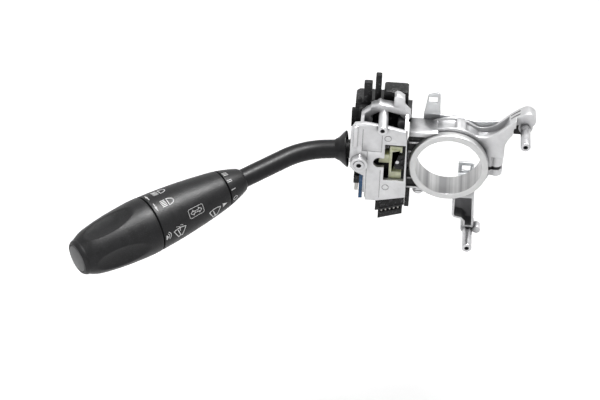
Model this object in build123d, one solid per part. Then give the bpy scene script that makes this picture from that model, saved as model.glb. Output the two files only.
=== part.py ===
from build123d import *
import os
from math import cos, radians, sin

os.makedirs("parts", exist_ok=True)

# Frame: origin at the centre of the column ring's bore, on the face towards the driver.
# +X points away from the stalk, +Y points away from the driver along the column, +Z is up.

# ---------------------------------------------------------------- clearances
SHAFT_FIT = 0.05  # radial clearance of pins and tubes in their bores
SEAT_GAP = 0.1  # clearance of a fixed piece in its pocket
MOVE_GAP = 0.35  # clearance between pieces that move past each other

# ---------------------------------------------------------------- column ring and clamp band
BORE_R = 20.0
RING_WALL = 2.5
NECK_STEP = 0.6
FLANGE_STEP = 1.0
RING_LENGTH = 17.3
RING_CHAMFER = 0.6
FLANGE_LENGTH = 4.6
BAND_FRONT_Y = 5.6
BAND_RIM = 3.5
BAND_WEB = 1.9
BAND_RIM_WIDTH = 1.8
BAND_RIM_SLOPE = 0.5
RING_BODY_R = BORE_R + RING_WALL
NECK_R = RING_BODY_R + NECK_STEP
FLANGE_R = NECK_R + FLANGE_STEP
BAND_RIM_R = RING_BODY_R + BAND_RIM
BAND_WEB_R = RING_BODY_R + BAND_WEB

# ---------------------------------------------------------------- clamp at the ring's right
CLAMP_X = BAND_RIM_R + 2.8
CLAMP_Y = 10.0
CLAMP_R = 4.2
CLAMP_NECK_HALF = 3.6
CLAMP_TOP_Z = 8.5
CLAMP_BOTTOM_Z = -8.2
CLAMP_SLIT_Z = -2.5
CLAMP_SLIT = 2.6
CLAMP_SCREW_R = 2.0
CLAMP_HEAD_R = 3.0
CLAMP_HEAD_LENGTH = 3.0
CLAMP_HEAD_SINK = 1.2
CLAMP_HEAD_SEAT_Z = CLAMP_TOP_Z - CLAMP_HEAD_LENGTH - CLAMP_HEAD_SINK
CLAMP_SCREW_SHORT = 0.5
HEX_KEY_R = 1.6
HEX_KEY_DEPTH = 1.8

# ---------------------------------------------------------------- mounting posts
POST_R = 3.0
POST_HOLE_R = 1.35
POST_HOLE_DEPTH = 12.0
POST_FRONT_Y = -11.0
POST_SEAT_Y = 9.0
POST_SPIGOT_R = 1.9
POST_SPIGOT_LENGTH = 5.0
POST_SOCKET_R = 4.3
POST_CHAMFER = 0.4
SPIGOT_END_GAP = 0.5
RIGHT_POST = (BAND_RIM_R + 18.4, 27.3)
LOWER_POST = (15.1, -BAND_RIM_R - 27.0)

# ---------------------------------------------------------------- arms of the bracket
ARM_HEAD = (RIGHT_POST[0] + 0.7, RIGHT_POST[1] + 5.0)
ARM_HEAD_R = 5.2
ARM_SLOT = (7.0, 1.0, 1.0)  # length, width and depth
ARM_SLOT_TILT = -37.0
ARM_SLOT_PLACE = (-7.3, 1.3)
ARM_SLOT_STEP = 1.6
ARM_FOOT_Z = 6.0
LOWER_ARM_WALL = 1.3
LOWER_ARM_POCKET_DEPTH = 9.0
KNUCKLE_R = 2.4
KNUCKLE_LENGTH = 6.0
BUMPER_SIZE = (6.2, 6.0, 6.8)

# ---------------------------------------------------------------- link between ring and switch
LINK_LEFT_X = 1.0 - BAND_RIM_R
LINK_FRONT_Y = 2.5
LINK_TOP_Z = 23.4
LINK_TOP_WALL = 3.4
LINK_BOTTOM_Z = -19.2
LINK_BACK_Y = 12.8
LINK_INNER_X = -8.0
LINK_BOTTOM_WALL = 1.4
LINK_RIB = 1.0
LINK_RIB_Z = (15.3, 8.5, -0.6, -11.4)
LINK_INSERT_SINK = 1.0
LINK_INSERT_GAP = (-5.5, 9.0)
SIDE_BLOCK_BOTTOM_Z = -33.4
FLANGE_CLEARANCE = 0.5
LOCATING_SCREW_R = 1.9
LOCATING_BOSS = 1.6
LOCATING_ANGLE = 233.4
LOCATING_CIRCLE_R = BAND_RIM_R + 2.9
LOCATING_SCREW = (LOCATING_CIRCLE_R * cos(radians(LOCATING_ANGLE)),
                  LOCATING_CIRCLE_R * sin(radians(LOCATING_ANGLE)))
LOCATING_SCREW_LENGTH = 4.5
LOCATING_SHANK_R = 1.15
LOCATING_HEAD = 1.6
LOCATING_SLOT = 0.6
LOCATING_SEAT_Y = BAND_FRONT_Y + 1.5

# ---------------------------------------------------------------- stamped cover plate
COVER_THICKNESS = 1.5
COVER_R = BAND_RIM_R + 0.3
COVER_HOLE_R = BORE_R + 1.4
TAB_WIDTH = 9.8
TAB_HOLE = (5.2, 4.2)
UPPER_TAB_X = -12.0
UPPER_TAB_TOP_Z = 46.5
UPPER_TAB_Y = 12.3
LOWER_TAB_X = 12.0
LOWER_TAB_TOP_Z = -19.4
LOWER_TAB_Y = 33.5
TAB_CORNER = 1.6
TAB_ROOT_Z = 26.0
TAB_HOLE_Z = 38.8
LOWER_TAB_Z = -29.0
LOWER_TAB_HOLE_DROP = 2.4
RIVET_CIRCLE_R = (RING_BODY_R + BAND_RIM_R) / 2
RIVET_ANGLES = (62, 152, 238, 315)
RIVET_R = 1.2
RIVET_HEAD_R = 2.1
RIVET_HEAD = 0.7
RIVET_LENGTH = 1.5

# ---------------------------------------------------------------- switch frame, x from the turn axis
MODULE_RIGHT = 29.0
SWITCH_X = LINK_LEFT_X - MODULE_RIGHT
LEFT_POST = (13.0, 32.4)
FRAME_FRONT_Y = -8.0
FRAME_PLATE = 2.5
FRAME_BACK_Y = 12.0
FRAME_WALL = 2.0
FRAME_LEFT_WALL_X = -0.5
FRAME_RIGHT_WALL_X = 26.0
FRAME_RIGHT_FOOT_Z = -18.6
FRAME_SIDE_RIB = (-4.0, -1.8, 17.5, 33.0)
FRAME_SIDE_RIB_PROUD = 0.9
ARCH_FRONT_Y = 6.0
BOSS_R = 5.1
BOSS_FRONT_Y = -12.5
WINDOW = (15.0, 27.4, -6.4, 20.4)
KEYHOLE = (12.0, 6.6)
KEYHOLE_R = 3.6
KEYHOLE_SLOT = 6.8
EJECTOR_MARKS = ((16.6, 25.0), (16.6, -11.8))
EJECTOR_R = 2.2
EJECTOR_CORE_R = 1.7
EJECTOR_DEPTH = 0.3
PANEL_LINE_DEPTH = 0.25
PANEL_LINES = ((1.2, 13.2, 14.6, 14.95), (1.2, 1.55, 14.6, 31.0), (12.85, 13.2, 14.6, 27.0),
               (4.4, 4.75, -20.0, 14.6), (12.85, 13.2, -20.0, 1.0))
FRAME_SCREWS = ((3.4, 27.6), (24.7, 25.5))
FRAME_SCREW_BOSS = 1.6
FRAME_SCREW_GRIP = 5.0

# ---------------------------------------------------------------- turn joint
TURN_Z = 7.0
PIVOT_R = 3.2
PIVOT_HOLE_R = 1.5
PIVOT_HOLE_DEPTH = 5.0
PIVOT_PROUD = 0.4
PIVOT_REAR_LENGTH = 4.0
YOKE_FRONT_Y = -4.7
YOKE_BACK_Y = 16.7
YOKE_ARM = 3.6
YOKE_TOP = 12.0
YOKE_SHELF = 3.0
YOKE_LEFT = 4.8
YOKE_RIGHT = 8.0
YOKE_CORNER = 4.5
NOSE_REACH = 11.6
NOSE_HALF_HEIGHT = 2.8
NOSE_HALF_WIDTH = 3.0

# ---------------------------------------------------------------- lever
LEVER_Y = 6.0
TILT_PIN_R = 2.0
ROOT_LEFT = 6.2
ROOT_RIGHT = 3.8
ROOT_HALF_WIDTH = 5.0
LEVER_Z = 5.85
LEVER_DROOP = 6.0
TUBE_R = 5.75
TUBE_BORE_R = 4.25
TUBE_START = 7.0
TUBE_BEND_R = 40.0
BEND_REACH = 34.6
SPIGOT_LENGTH = 10.0
BOOT_R = 11.2
BOOT_START = 7.8
BOOT_LENGTH = 7.2

# ---------------------------------------------------------------- handle, along its own axis from the bend
HANDLE_DIRECTION = Vector(-0.775, -0.62, -0.094)
RING_START = 45.0
RING_END = 59.2
RING_SMALL_R = 6.9
RING_MID_R = 9.5
RING_LARGE_R = 11.5
RING_EDGE = 0.5
GROOVE = 0.7
SLEEVE_START = RING_END + GROOVE
SLEEVE_END = 110.2
SLEEVE_SMALL_R = 11.7
SLEEVE_MID_R = 15.3
SLEEVE_LARGE_R = 17.25
SLEEVE_WALL = 2.0
EDGE_BREAK = 0.35
ROTOR_R = 7.0
ROTOR_START = RING_START + 4.0
BULKHEAD = 4.0
BULKHEAD_INSET = 11.0
BULKHEAD_START = SLEEVE_END - BULKHEAD_INSET
ROTOR_END = BULKHEAD_START - 1.0
PRONG_END = SLEEVE_END + 11.0
PRONG_HALF_ANGLE = 24.0
PRONG_SIDE_ANGLE = 0.5
WINDOW_SIDE_ANGLE = 3.0
ROTARY_RANGE = 75.0
KNOB_GAP = 0.9
KNOB_START = SLEEVE_END + KNOB_GAP
KNOB_PROFILE = ((17.35, 0.0), (17.45, 6.0), (16.9, 16.0), (16.1, 25.0), (14.75, 34.5), (13.3, 41.0),
                (11.0, 46.0))
KNOB_TIP_R = 9.4
KNOB_LENGTH = 48.8
KNOB_END = KNOB_START + KNOB_LENGTH
CAVITY_R = 15.0
KNOB_FLOOR = 1.6
HUB_R = 9.6
HUB_START = KNOB_START + 3.0
HUB_END = KNOB_START + 35.0
TUBE_END = HUB_END - 2.0
SCOOP_COUNT = 4
SCOOP_R = 24.0
SCOOP_LONG_R = 90.0
SCOOP_HALF_LENGTH = 24.0
SCOOP_DEPTH = 2.3
SCOOP_FACE_R = 15.4
SCOOP_MIDDLE = 30.0
SCOOP_TILT = 7.0
BUTTON_R = 8.3
BUTTON_CROWN = 1.0
BUTTON_PROUD = 1.1
BUTTON_TRAVEL = 2.5
BUTTON_FLOOR = 1.0
BUTTON_STEM_LENGTH = 11.0
BUTTON_START = HUB_END + BUTTON_FLOOR + BUTTON_TRAVEL + 1.0
BUTTON_POCKET = (7.6, 5.4, 4.0)  # outer and inner radius and depth of the spring's pocket
WASH_SPRING_R = 6.5
WASH_WIRE_R = 0.35
WASH_SPRING_TURNS = 3

# ---------------------------------------------------------------- cancelling slider and pawl
SLIDER_FRONT_Y = -4.8
SLIDER_BACK_Y = 2.0
SLIDER_LEFT_X = 18.0
SLIDER_RIGHT_X = 25.6
SLIDER_TOP_Z = 17.0
SLIDER_BOTTOM_Z = -8.9
SLIDER_BASE_Y = -0.5
SLIDER_STEP_X = 19.8
SLIDER_ARM_HALF = 3.1
SLIDER_ARM_SINK = 0.8
SLIDER_LIP = (19.2, 24.4, 14.2, 16.2)
SLIDER_LIP_DEPTH = 0.7
PAWL_CENTRE = (22.8, 5.3)
PAWL_ROOM = 7.4
PAWL_PIN_R = 1.2
PAWL_HALF_HEIGHT = 5.4
PAWL_REACH = 3.8
PAWL_SINK = 0.3
GUIDE_BACK = 2.6
GUIDE_RAIL = 2.0
GUIDE_LEFT_X = 14.0
GUIDE_STOP_X = 11.6
GUIDE_STOP = 1.6
GUIDE_STOP_Z = (12.6, 17.0)
CANCEL_SPRING_Z = 14.8
CANCEL_SPRING_R = 1.5
CANCEL_WIRE_R = 0.25
CANCEL_SPRING_TURNS = 5

# ---------------------------------------------------------------- black housings; x from the turn axis
MECHANISM_ROOF_Z = 21.4
ROOF_THICKNESS = 2.0
ROOF_RIB = 1.2
ROOF_RIB_X = (4.5, 18.0)
ROOF_RIB_TOP_Z = 25.6
HOUSING_LEFT_X = -4.6
HOUSING_RIGHT_X = 27.2
HOUSING_FRONT_Y = 17.0
HOUSING_BACK_Y = 30.0
HOUSING_TOP_Z = 33.0
HOUSING_BOTTOM_Z = -17.0
HOUSING_CORNER = 2.0
COVER_PLATE = 2.0
COVER_INSET = 0.8
COVER_RAISED = (9.0, 18.0, 1.0)
FINS = ((-6.6, -4.0, 26.5), (-3.3, -0.9, 34.9), (0.1, 5.1, 47.3), (6.9, 10.5, 53.3))
FIN_DEPTH = 3.0
FIN_BOTTOM_Z = 14.0
FIN_ROUND = 0.8
SOCKET_BOX = (12.3, 27.1, 33.0, 43.3)
SOCKET_FRONT_Y = 15.0
SOCKET_BACK_Y = 25.0
SOCKET_WALL = 1.4
SOCKET_DEPTH = 8.2
SOCKET_ROUND = 1.6
SOCKET_NOTCH = (5.2, 2.5, 0.7)
SOCKET_PIN = 3.4
SOCKET_COLUMNS = 5
SOCKET_ROW_INSET = 3.4
PLUG_YAW = 22.6
PLUG_FRONT_Y = -7.7
PLUG_TOP_Z = -23.7
PLUG_UPPER = (11.1, 28.6, 6.2)  # left, right and height
PLUG_LOWER = (13.0, 27.7, 7.0)
PLUG_BACK_Y = 11.0
PLUG_LIP = 0.9
PLUG_LIP_PROUD = 0.5
PLUG_SLOT_DROP = 1.9
PLUG_SLOT = (2.0, 1.6)
PLUG_CONTACTS = 5
PLUG_CONTACT = (0.8, 1.2, 1.2)
PLUG_NECK = (12.0, 28.0, 9.0)
PIN_SIZE = 0.64
BOARD_X = 2.6
BOARD_THICKNESS = 2.2
BOARD_Z = (-25.0, -7.0)
BOARD_Y = (-3.0, 12.0)
TERMINAL_BLOCK_SIZE = (3.4, 8.0, 5.6)
TERMINAL_BLOCK_Z = -14.6
TERMINAL = (2.2, 0.8, 5.8)  # width, thickness and length
TERMINAL_Y = (-1.4, 1.0, 3.4)
SCREW_R = 1.5
SCREW_HEAD_R = 2.8
SCREW_HEAD = 1.8
SCREW_RECESS = 1.0
SCREW_CROSS = (1.6, 0.4)


# ================================================================ helpers
def front_sketch(sketch, y_front, y_back):
    """Extrudes a sketch drawn in X and Z from y_front back to y_back."""
    plane = Plane(origin=(0, y_front, 0), x_dir=(1, 0, 0), z_dir=(0, -1, 0))
    return extrude(plane * sketch, amount=-(y_back - y_front))


def side_profile(points, x0, x1):
    """Extrudes an outline given as (y, z) from x0 to x1."""
    plane = Plane(origin=(x0, 0, 0), x_dir=(0, 1, 0), z_dir=(1, 0, 0))
    return extrude(plane * outline(points), amount=x1 - x0)


def outline(points):
    """A closed face through points."""
    return make_face(Polyline(*points, close=True))


def block(x0, x1, y0, y1, z0, z1):
    """A box between two corners."""
    return Pos(x0, y0, z0) * Box(x1 - x0, y1 - y0, z1 - z0, align=(Align.MIN, Align.MIN, Align.MIN))


def rod_y(r, x, z, y0, y1):
    """A cylinder along Y."""
    return Pos(x, y0, z) * Rot(-90, 0, 0) * Cylinder(r, y1 - y0, align=(Align.CENTER, Align.CENTER, Align.MIN))


def rod_z(r, x, y, z0, z1):
    """A cylinder along Z."""
    return Pos(x, y, z0) * Cylinder(r, z1 - z0, align=(Align.CENTER, Align.CENTER, Align.MIN))


def turned_y(points):
    """Revolves a (radius, y) outline about the column axis."""
    return revolve(outline(points), Axis.Y, 360)


def turned_z(*edges):
    """Revolves edges drawn as (radius, height) about Z."""
    plane = Plane(origin=(0, 0, 0), x_dir=(1, 0, 0), z_dir=(0, -1, 0))
    return revolve(plane * make_face(edges), Axis.Z, 360)


def tube_z(r_out, r_in, z0, z1):
    """A tube along Z."""
    return rod_z(r_out, 0, 0, z0, z1) - rod_z(r_in, 0, 0, z0 - 1, z1 + 1)


def sector_z(r, half_angle, z0, z1, centre_angle=0.0):
    """A pie slice about Z, up to 180 degrees wide."""
    a0 = radians(centre_angle - half_angle)
    a1 = radians(centre_angle + half_angle)
    mid = radians(centre_angle)
    start = (r * cos(a0), r * sin(a0))
    end = (r * cos(a1), r * sin(a1))
    edges = [Line((0, 0), start), ThreePointArc(start, (r * cos(mid), r * sin(mid)), end), Line(end, (0, 0))]
    return Pos(0, 0, z0) * extrude(make_face(edges), amount=z1 - z0)


def coil(radius, wire_r, length, turns):
    """A helical spring along Z from the origin."""
    path = Helix(pitch=length / turns, height=length, radius=radius)
    section = Plane(path @ 0, z_dir=path % 0) * Circle(wire_r)
    return sweep(section, path=path)


def save(shape, name):
    """Writes one sub-part as parts/name.step."""
    export_step(shape, f"parts/{name}.step")


# ================================================================ lever and handle axes, from the turn axis
ROOT_DIRECTION = Vector(-cos(radians(LEVER_DROOP)), 0, -sin(radians(LEVER_DROOP)))
TILT_POINT = Vector(0, LEVER_Y, LEVER_Z)
BEND_POINT = TILT_POINT + ROOT_DIRECTION * (BEND_REACH / cos(radians(LEVER_DROOP)))
ROOT_PLANE = Plane(origin=TILT_POINT, x_dir=(0, 1, 0), z_dir=ROOT_DIRECTION)
HANDLE_SIDE = Vector(-HANDLE_DIRECTION.Y, HANDLE_DIRECTION.X, 0)
HANDLE_PLANE = Plane(origin=BEND_POINT, x_dir=HANDLE_SIDE, z_dir=HANDLE_DIRECTION)


# ================================================================ column ring and bracket
def column_ring():
    """Machined ring that grips the steering column."""
    c = RING_CHAMFER
    return turned_y([
        (BORE_R, 0), (FLANGE_R - c, 0), (FLANGE_R, c), (FLANGE_R, FLANGE_LENGTH),
        (NECK_R, FLANGE_LENGTH), (NECK_R, BAND_FRONT_Y), (RING_BODY_R, BAND_FRONT_Y),
        (RING_BODY_R, RING_LENGTH), (BORE_R + c, RING_LENGTH), (BORE_R, RING_LENGTH - c),
    ])


def band():
    """Channel-shaped band round the ring: two rims and a lower web."""
    inner = RING_BODY_R + SHAFT_FIT
    y0, y1, w, s = BAND_FRONT_Y, RING_LENGTH, BAND_RIM_WIDTH, BAND_RIM_SLOPE
    return turned_y([
        (inner, y0), (BAND_RIM_R, y0), (BAND_RIM_R, y0 + w - s), (BAND_WEB_R, y0 + w), (BAND_WEB_R, y1 - w),
        (BAND_RIM_R, y1 - w + s), (BAND_RIM_R, y1), (inner, y1),
    ])


def right_arm():
    """Channelled arm that rises from the band to the right-hand post."""
    r = BAND_RIM_R
    hx, hz = ARM_HEAD
    px, pz = RIGHT_POST
    crest = (hx - 0.7, hz + 5.1)
    top = Spline((3.0, r - 0.2), (9.5, r - 2.0), (15.5, r - 5.0), (r - 4.1, 20.8), (r + 1.0, 23.2),
                 (r + 5.0, 26.8), (r + 9.0, 31.0), (r + 14.0, 35.2), crest)
    underside = Polyline(crest, ARM_HEAD, RIGHT_POST, (px - 2.4, pz + 2.2), (px - 6.9, pz + 1.1),
                         (px - 7.5, pz - 3.7), (r + 8.4, 19.4), (r + 7.0, 15.6), (r + 7.0, ARM_FOOT_Z),
                         (r - 4.0, ARM_FOOT_Z),
                         (14.0, r - 7.5), (3.0, r - 3.2), (3.0, r - 0.2))
    arm = front_sketch(make_face([top, underside]), BAND_FRONT_Y, RING_LENGTH)
    channel_edges = [ThreePointArc((8.0, r - 0.4), (20.0, 17.2), (r + 8.6, 31.4)),
                     Polyline((r + 8.6, 31.4), (r + 4.0, 40.0), (8.0, 40.0), (8.0, r - 0.4))]
    channel = front_sketch(make_face(channel_edges), BAND_FRONT_Y + BAND_RIM_WIDTH,
                           RING_LENGTH - BAND_RIM_WIDTH)
    back_pocket = block(r - 1.5, r + 4.8, CLAMP_Y + 1, RING_LENGTH + 1, 10.0, 15.5)
    head = rod_y(ARM_HEAD_R, *ARM_HEAD, POST_SEAT_Y, RING_LENGTH)
    head += rod_y(POST_SOCKET_R, *RIGHT_POST, POST_SEAT_Y, RING_LENGTH)
    head_clearance = block(px - 5.8, px + 11.6, BAND_FRONT_Y - 1, POST_SEAT_Y, pz - 7.3, hz + 12.7)
    return arm - channel - back_pocket - head_clearance + head


def arm_slots():
    """Two shallow slots across the arm's head."""
    length, width, depth = ARM_SLOT
    dx, dz = ARM_SLOT_PLACE
    middle_y = (POST_SEAT_Y + RING_LENGTH) / 2
    slot = Rot(0, ARM_SLOT_TILT, 0) * Box(length, width, depth * 2)
    cuts = [Pos(ARM_HEAD[0] + dx, middle_y + step, ARM_HEAD[1] + dz) * slot
            for step in (-ARM_SLOT_STEP, ARM_SLOT_STEP)]
    return cuts[0] + cuts[1]


def spigot_bore(x, z):
    """Blind bore that takes a post's spigot."""
    return rod_y(POST_SPIGOT_R + SHAFT_FIT, x, z, POST_SEAT_Y - 1,
                 POST_SEAT_Y + POST_SPIGOT_LENGTH + SPIGOT_END_GAP)


def clamp_lugs():
    """Upper and lower barrels of the clamp and the block that joins them to the band."""
    barrel = rod_z(CLAMP_R, CLAMP_X, CLAMP_Y, CLAMP_BOTTOM_Z, CLAMP_TOP_Z)
    neck = block(BORE_R + 1, CLAMP_X, CLAMP_Y - CLAMP_NECK_HALF, CLAMP_Y + CLAMP_NECK_HALF, CLAMP_BOTTOM_Z,
                 CLAMP_TOP_Z)
    return barrel + neck


def clamp_cuts():
    """Slit, screw hole and head recess of the clamp."""
    z0 = CLAMP_SLIT_Z - CLAMP_SLIT / 2
    slit = block(BORE_R, CLAMP_X + 2 * CLAMP_R, BAND_FRONT_Y - 1, RING_LENGTH + 1, z0, z0 + CLAMP_SLIT)
    hole = rod_z(CLAMP_SCREW_R + SHAFT_FIT, CLAMP_X, CLAMP_Y, CLAMP_BOTTOM_Z - 1, CLAMP_TOP_Z + 1)
    recess = rod_z(CLAMP_HEAD_R + SHAFT_FIT, CLAMP_X, CLAMP_Y, CLAMP_HEAD_SEAT_Z, CLAMP_TOP_Z + 1)
    return slit + hole + recess


def lower_arm():
    """Open channel cast below the band; it carries the lower post."""
    x, z = LOWER_POST
    w = LOWER_ARM_WALL
    left, right = x - 10.5, x + 2.3
    root = 6.0 - BAND_RIM_R
    arm = front_sketch(outline([
        (left, root), (left, z + 12.4), (left + 1.4, z + 10.6), (left + 5.4, z + 9.8), (left + 7.4, z + 7.4),
        (left + 7.4, z), (right + 0.9, z), (right + 0.9, z + 9.0), (right, z + 28.7), (right, root)]),
        BAND_FRONT_Y, RING_LENGTH)
    pocket = front_sketch(outline([
        (left + w, -BAND_RIM_R - 0.6), (left + w, z + 13.0), (left + 2.0, z + 11.8), (left + 6.2, z + 11.0),
        (left + 8.6, z + 8.0), (left + 8.6, z + 5.0), (right - 0.4, z + 5.0), (right - 0.4, z + 9.0),
        (right - w, -BAND_RIM_R - 0.6)]), BAND_FRONT_Y - 1, BAND_FRONT_Y + LOWER_ARM_POCKET_DEPTH)
    front_relief = block(x - 6, x + 8, BAND_FRONT_Y - 1, POST_SEAT_Y, z - 6, z + 3.7)
    seat = rod_y(POST_SOCKET_R, x, z, POST_SEAT_Y, RING_LENGTH)
    knuckle_y = POST_SEAT_Y - 2
    knuckle = rod_y(KNUCKLE_R, x + 5.5, z + 0.6, knuckle_y, knuckle_y + KNUCKLE_LENGTH)
    arm = arm - pocket - front_relief + seat + knuckle
    arm -= rod_y(BAND_RIM_R, 0, 0, BAND_FRONT_Y - 1, RING_LENGTH + 1)
    return arm - spigot_bore(x, z)


def link():
    """Ribbed bridge between the band and the switch frame, open to the front."""
    x0, x1 = LINK_LEFT_X, LINK_INNER_X
    bridge = block(x0, x1, LINK_BACK_Y, RING_LENGTH, LINK_BOTTOM_Z, LINK_TOP_Z)
    bridge += block(x0, x1, LINK_FRONT_Y, RING_LENGTH, LINK_TOP_Z - LINK_TOP_WALL, LINK_TOP_Z)
    bridge += block(x0, x1, LINK_FRONT_Y, RING_LENGTH, LINK_BOTTOM_Z, LINK_BOTTOM_Z + LINK_BOTTOM_WALL)
    for z in LINK_RIB_Z:
        bridge += block(x0, x1, LINK_FRONT_Y, RING_LENGTH, z - LINK_RIB / 2, z + LINK_RIB / 2)
    return bridge - rod_y(FLANGE_R + FLANGE_CLEARANCE, 0, 0, -1, BAND_FRONT_Y)


def column_bracket():
    """Die-cast bracket: band, link, clamp and the right arm."""
    casting = link() + clamp_lugs() + right_arm()
    casting -= rod_y(RING_BODY_R + 1.0, 0, 0, -1, RING_LENGTH + 1)
    casting += band()
    casting += rod_y(LOCATING_SCREW_R + LOCATING_BOSS, *LOCATING_SCREW, LOCATING_SEAT_Y, RING_LENGTH)
    casting -= rod_y(RING_BODY_R + SHAFT_FIT, 0, 0, -1, RING_LENGTH + 1)
    casting -= clamp_cuts()
    casting -= arm_slots()
    casting -= spigot_bore(*RIGHT_POST)
    casting -= rod_y(LOCATING_SHANK_R + SHAFT_FIT, *LOCATING_SCREW, 0,
                     LOCATING_SEAT_Y + LOCATING_SCREW_LENGTH + SPIGOT_END_GAP)
    for x, z in rivet_places():
        casting -= rod_y(RIVET_R + SHAFT_FIT, x, z, RING_LENGTH - RIVET_LENGTH - SEAT_GAP, RING_LENGTH + 1)
    return casting


def screw_post(x, z, y_back):
    """Round post with a chamfered front end and a blind hole in it."""
    post = rod_y(POST_R, x, z, POST_FRONT_Y, y_back)
    rim = post.edges().filter_by(GeomType.CIRCLE).group_by(Axis.Y)[0]
    post = chamfer(rim, POST_CHAMFER)
    return post - rod_y(POST_HOLE_R, x, z, POST_FRONT_Y - 1, POST_FRONT_Y + POST_HOLE_DEPTH)


def mounting_post(x, z):
    """Separate screw post with a spigot behind its shoulder."""
    spigot = rod_y(POST_SPIGOT_R, x, z, POST_SEAT_Y, POST_SEAT_Y + POST_SPIGOT_LENGTH)
    return screw_post(x, z, POST_SEAT_Y) + spigot


def right_post():
    """Post on the right arm."""
    return mounting_post(*RIGHT_POST)


def lower_post():
    """Post on the lower arm."""
    return mounting_post(*LOWER_POST)


def clamp_screw():
    """Socket-head screw that draws the clamp's lugs together."""
    top = CLAMP_HEAD_SEAT_Z + CLAMP_HEAD_LENGTH
    screw = rod_z(CLAMP_HEAD_R, CLAMP_X, CLAMP_Y, CLAMP_HEAD_SEAT_Z, top)
    screw += rod_z(CLAMP_SCREW_R, CLAMP_X, CLAMP_Y, CLAMP_BOTTOM_Z + CLAMP_SCREW_SHORT, CLAMP_HEAD_SEAT_Z)
    hexagon = extrude(RegularPolygon(HEX_KEY_R, 6), amount=HEX_KEY_DEPTH + 1)
    return screw - Pos(CLAMP_X, CLAMP_Y, top - HEX_KEY_DEPTH) * hexagon


def arm_bumper():
    """Rubber block in the notch under the right arm's head."""
    sx, sy, sz = BUMPER_SIZE
    x0, z1 = RIGHT_POST[0] - 6.8, RIGHT_POST[1] + 1.0
    body = block(x0, x0 + sx, POST_SEAT_Y + 1, POST_SEAT_Y + 1 + sy, z1 - sz, z1)
    body -= rod_y(ARM_HEAD_R + SEAT_GAP, *ARM_HEAD, POST_SEAT_Y - 5, RING_LENGTH + 5)
    return body - rod_y(POST_SOCKET_R + SEAT_GAP, *RIGHT_POST, POST_SEAT_Y - 5, RING_LENGTH + 5)


def locating_screw():
    """Small slotted screw on the lower left of the band."""
    x, z = LOCATING_SCREW
    front = LOCATING_SEAT_Y - LOCATING_HEAD
    screw = rod_y(LOCATING_SCREW_R, x, z, front, LOCATING_SEAT_Y)
    screw += rod_y(LOCATING_SHANK_R, x, z, LOCATING_SEAT_Y, LOCATING_SEAT_Y + LOCATING_SCREW_LENGTH)
    half = LOCATING_SLOT / 2
    return screw - block(x - 3, x + 3, front - 1, front + LOCATING_SLOT, z - half, z + half)


# ================================================================ stamped cover plate
def rivet_places():
    """Places of the rivets that hold the cover plate, as (x, z)."""
    return [(RIVET_CIRCLE_R * cos(radians(a)), RIVET_CIRCLE_R * sin(radians(a))) for a in RIVET_ANGLES]


def cover_plate():
    """Stamped plate behind the band with two upturned tabs, each with a square hole."""
    y0 = RING_LENGTH
    y1 = y0 + COVER_THICKNESS
    r = BAND_RIM_R
    half = TAB_WIDTH / 2
    plate = rod_y(COVER_R, 0, 0, y0, y1)
    plate += front_sketch(outline([
        (UPPER_TAB_X - half, 8.0), (UPPER_TAB_X - half, TAB_ROOT_Z + 1.0),
        (UPPER_TAB_X + half, TAB_ROOT_Z + 1.0),
        (3.0, r), (15.0, r - 2.6), (r + 2.0, 24.4), (r + 3.5, 18.0), (r - 2.0, 8.0)]), y0, y1)
    plate += block(LOWER_TAB_X - half, LOWER_TAB_X + half, y0, y1, LOWER_TAB_Z, -15.0)
    plate -= rod_y(COVER_HOLE_R, 0, 0, y0 - 1, y1 + 1)
    plate += upper_tab(y0, y1) + lower_tab(y1)
    for x, z in rivet_places():
        plate -= rod_y(RIVET_R + SHAFT_FIT, x, z, y0 - 1, y1 + 1)
    return plate


def upper_tab(y0, y1):
    """Tapered tab that leans forward over the band and then stands up."""
    t = COVER_THICKNESS
    x0, x1 = UPPER_TAB_X - TAB_WIDTH / 2, UPPER_TAB_X + TAB_WIDTH / 2
    front = UPPER_TAB_Y
    top = UPPER_TAB_TOP_Z
    tab = side_profile([(y1, TAB_ROOT_Z), (y1, 28.2), (front + t, 31.6), (front + t, top + 2),
                        (front, top + 2),
                        (front, 30.6), (y0, 27.2), (y0, TAB_ROOT_Z)], x0 - 1, x1 + 1)
    face = outline([(x0, TAB_ROOT_Z - 1), (x0, 30.0), (x0 + 1.8, top - 2.2), (x1 - 0.8, top), (x1, 30.0),
                    (x1, TAB_ROOT_Z - 1)])
    face = fillet(face.vertices().sort_by(Axis.Y)[-2:], TAB_CORNER)
    half = TAB_HOLE[0] / 2
    hole = block(UPPER_TAB_X - half, UPPER_TAB_X + half, front - 1, front + t + 1, TAB_HOLE_Z,
                 TAB_HOLE_Z + TAB_HOLE[1])
    return (tab & front_sketch(face, front - 1, y1 + 1)) - hole


def lower_tab(y1):
    """Tab that runs back from the plate and turns up towards the axis."""
    t = COVER_THICKNESS
    z0 = LOWER_TAB_Z
    x0, x1 = LOWER_TAB_X - TAB_WIDTH / 2, LOWER_TAB_X + TAB_WIDTH / 2
    tab = side_profile([(y1, z0), (LOWER_TAB_Y, z0), (LOWER_TAB_Y, LOWER_TAB_TOP_Z),
                        (LOWER_TAB_Y - t, LOWER_TAB_TOP_Z), (LOWER_TAB_Y - t, z0 + t), (y1, z0 + t)], x0, x1)
    hole_z = LOWER_TAB_TOP_Z - LOWER_TAB_HOLE_DROP - TAB_HOLE[1]
    hole = block(LOWER_TAB_X - TAB_HOLE[0] / 2, LOWER_TAB_X + TAB_HOLE[0] / 2, LOWER_TAB_Y - 2 * t,
                 LOWER_TAB_Y + t, hole_z, hole_z + TAB_HOLE[1])
    return tab - hole


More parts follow.
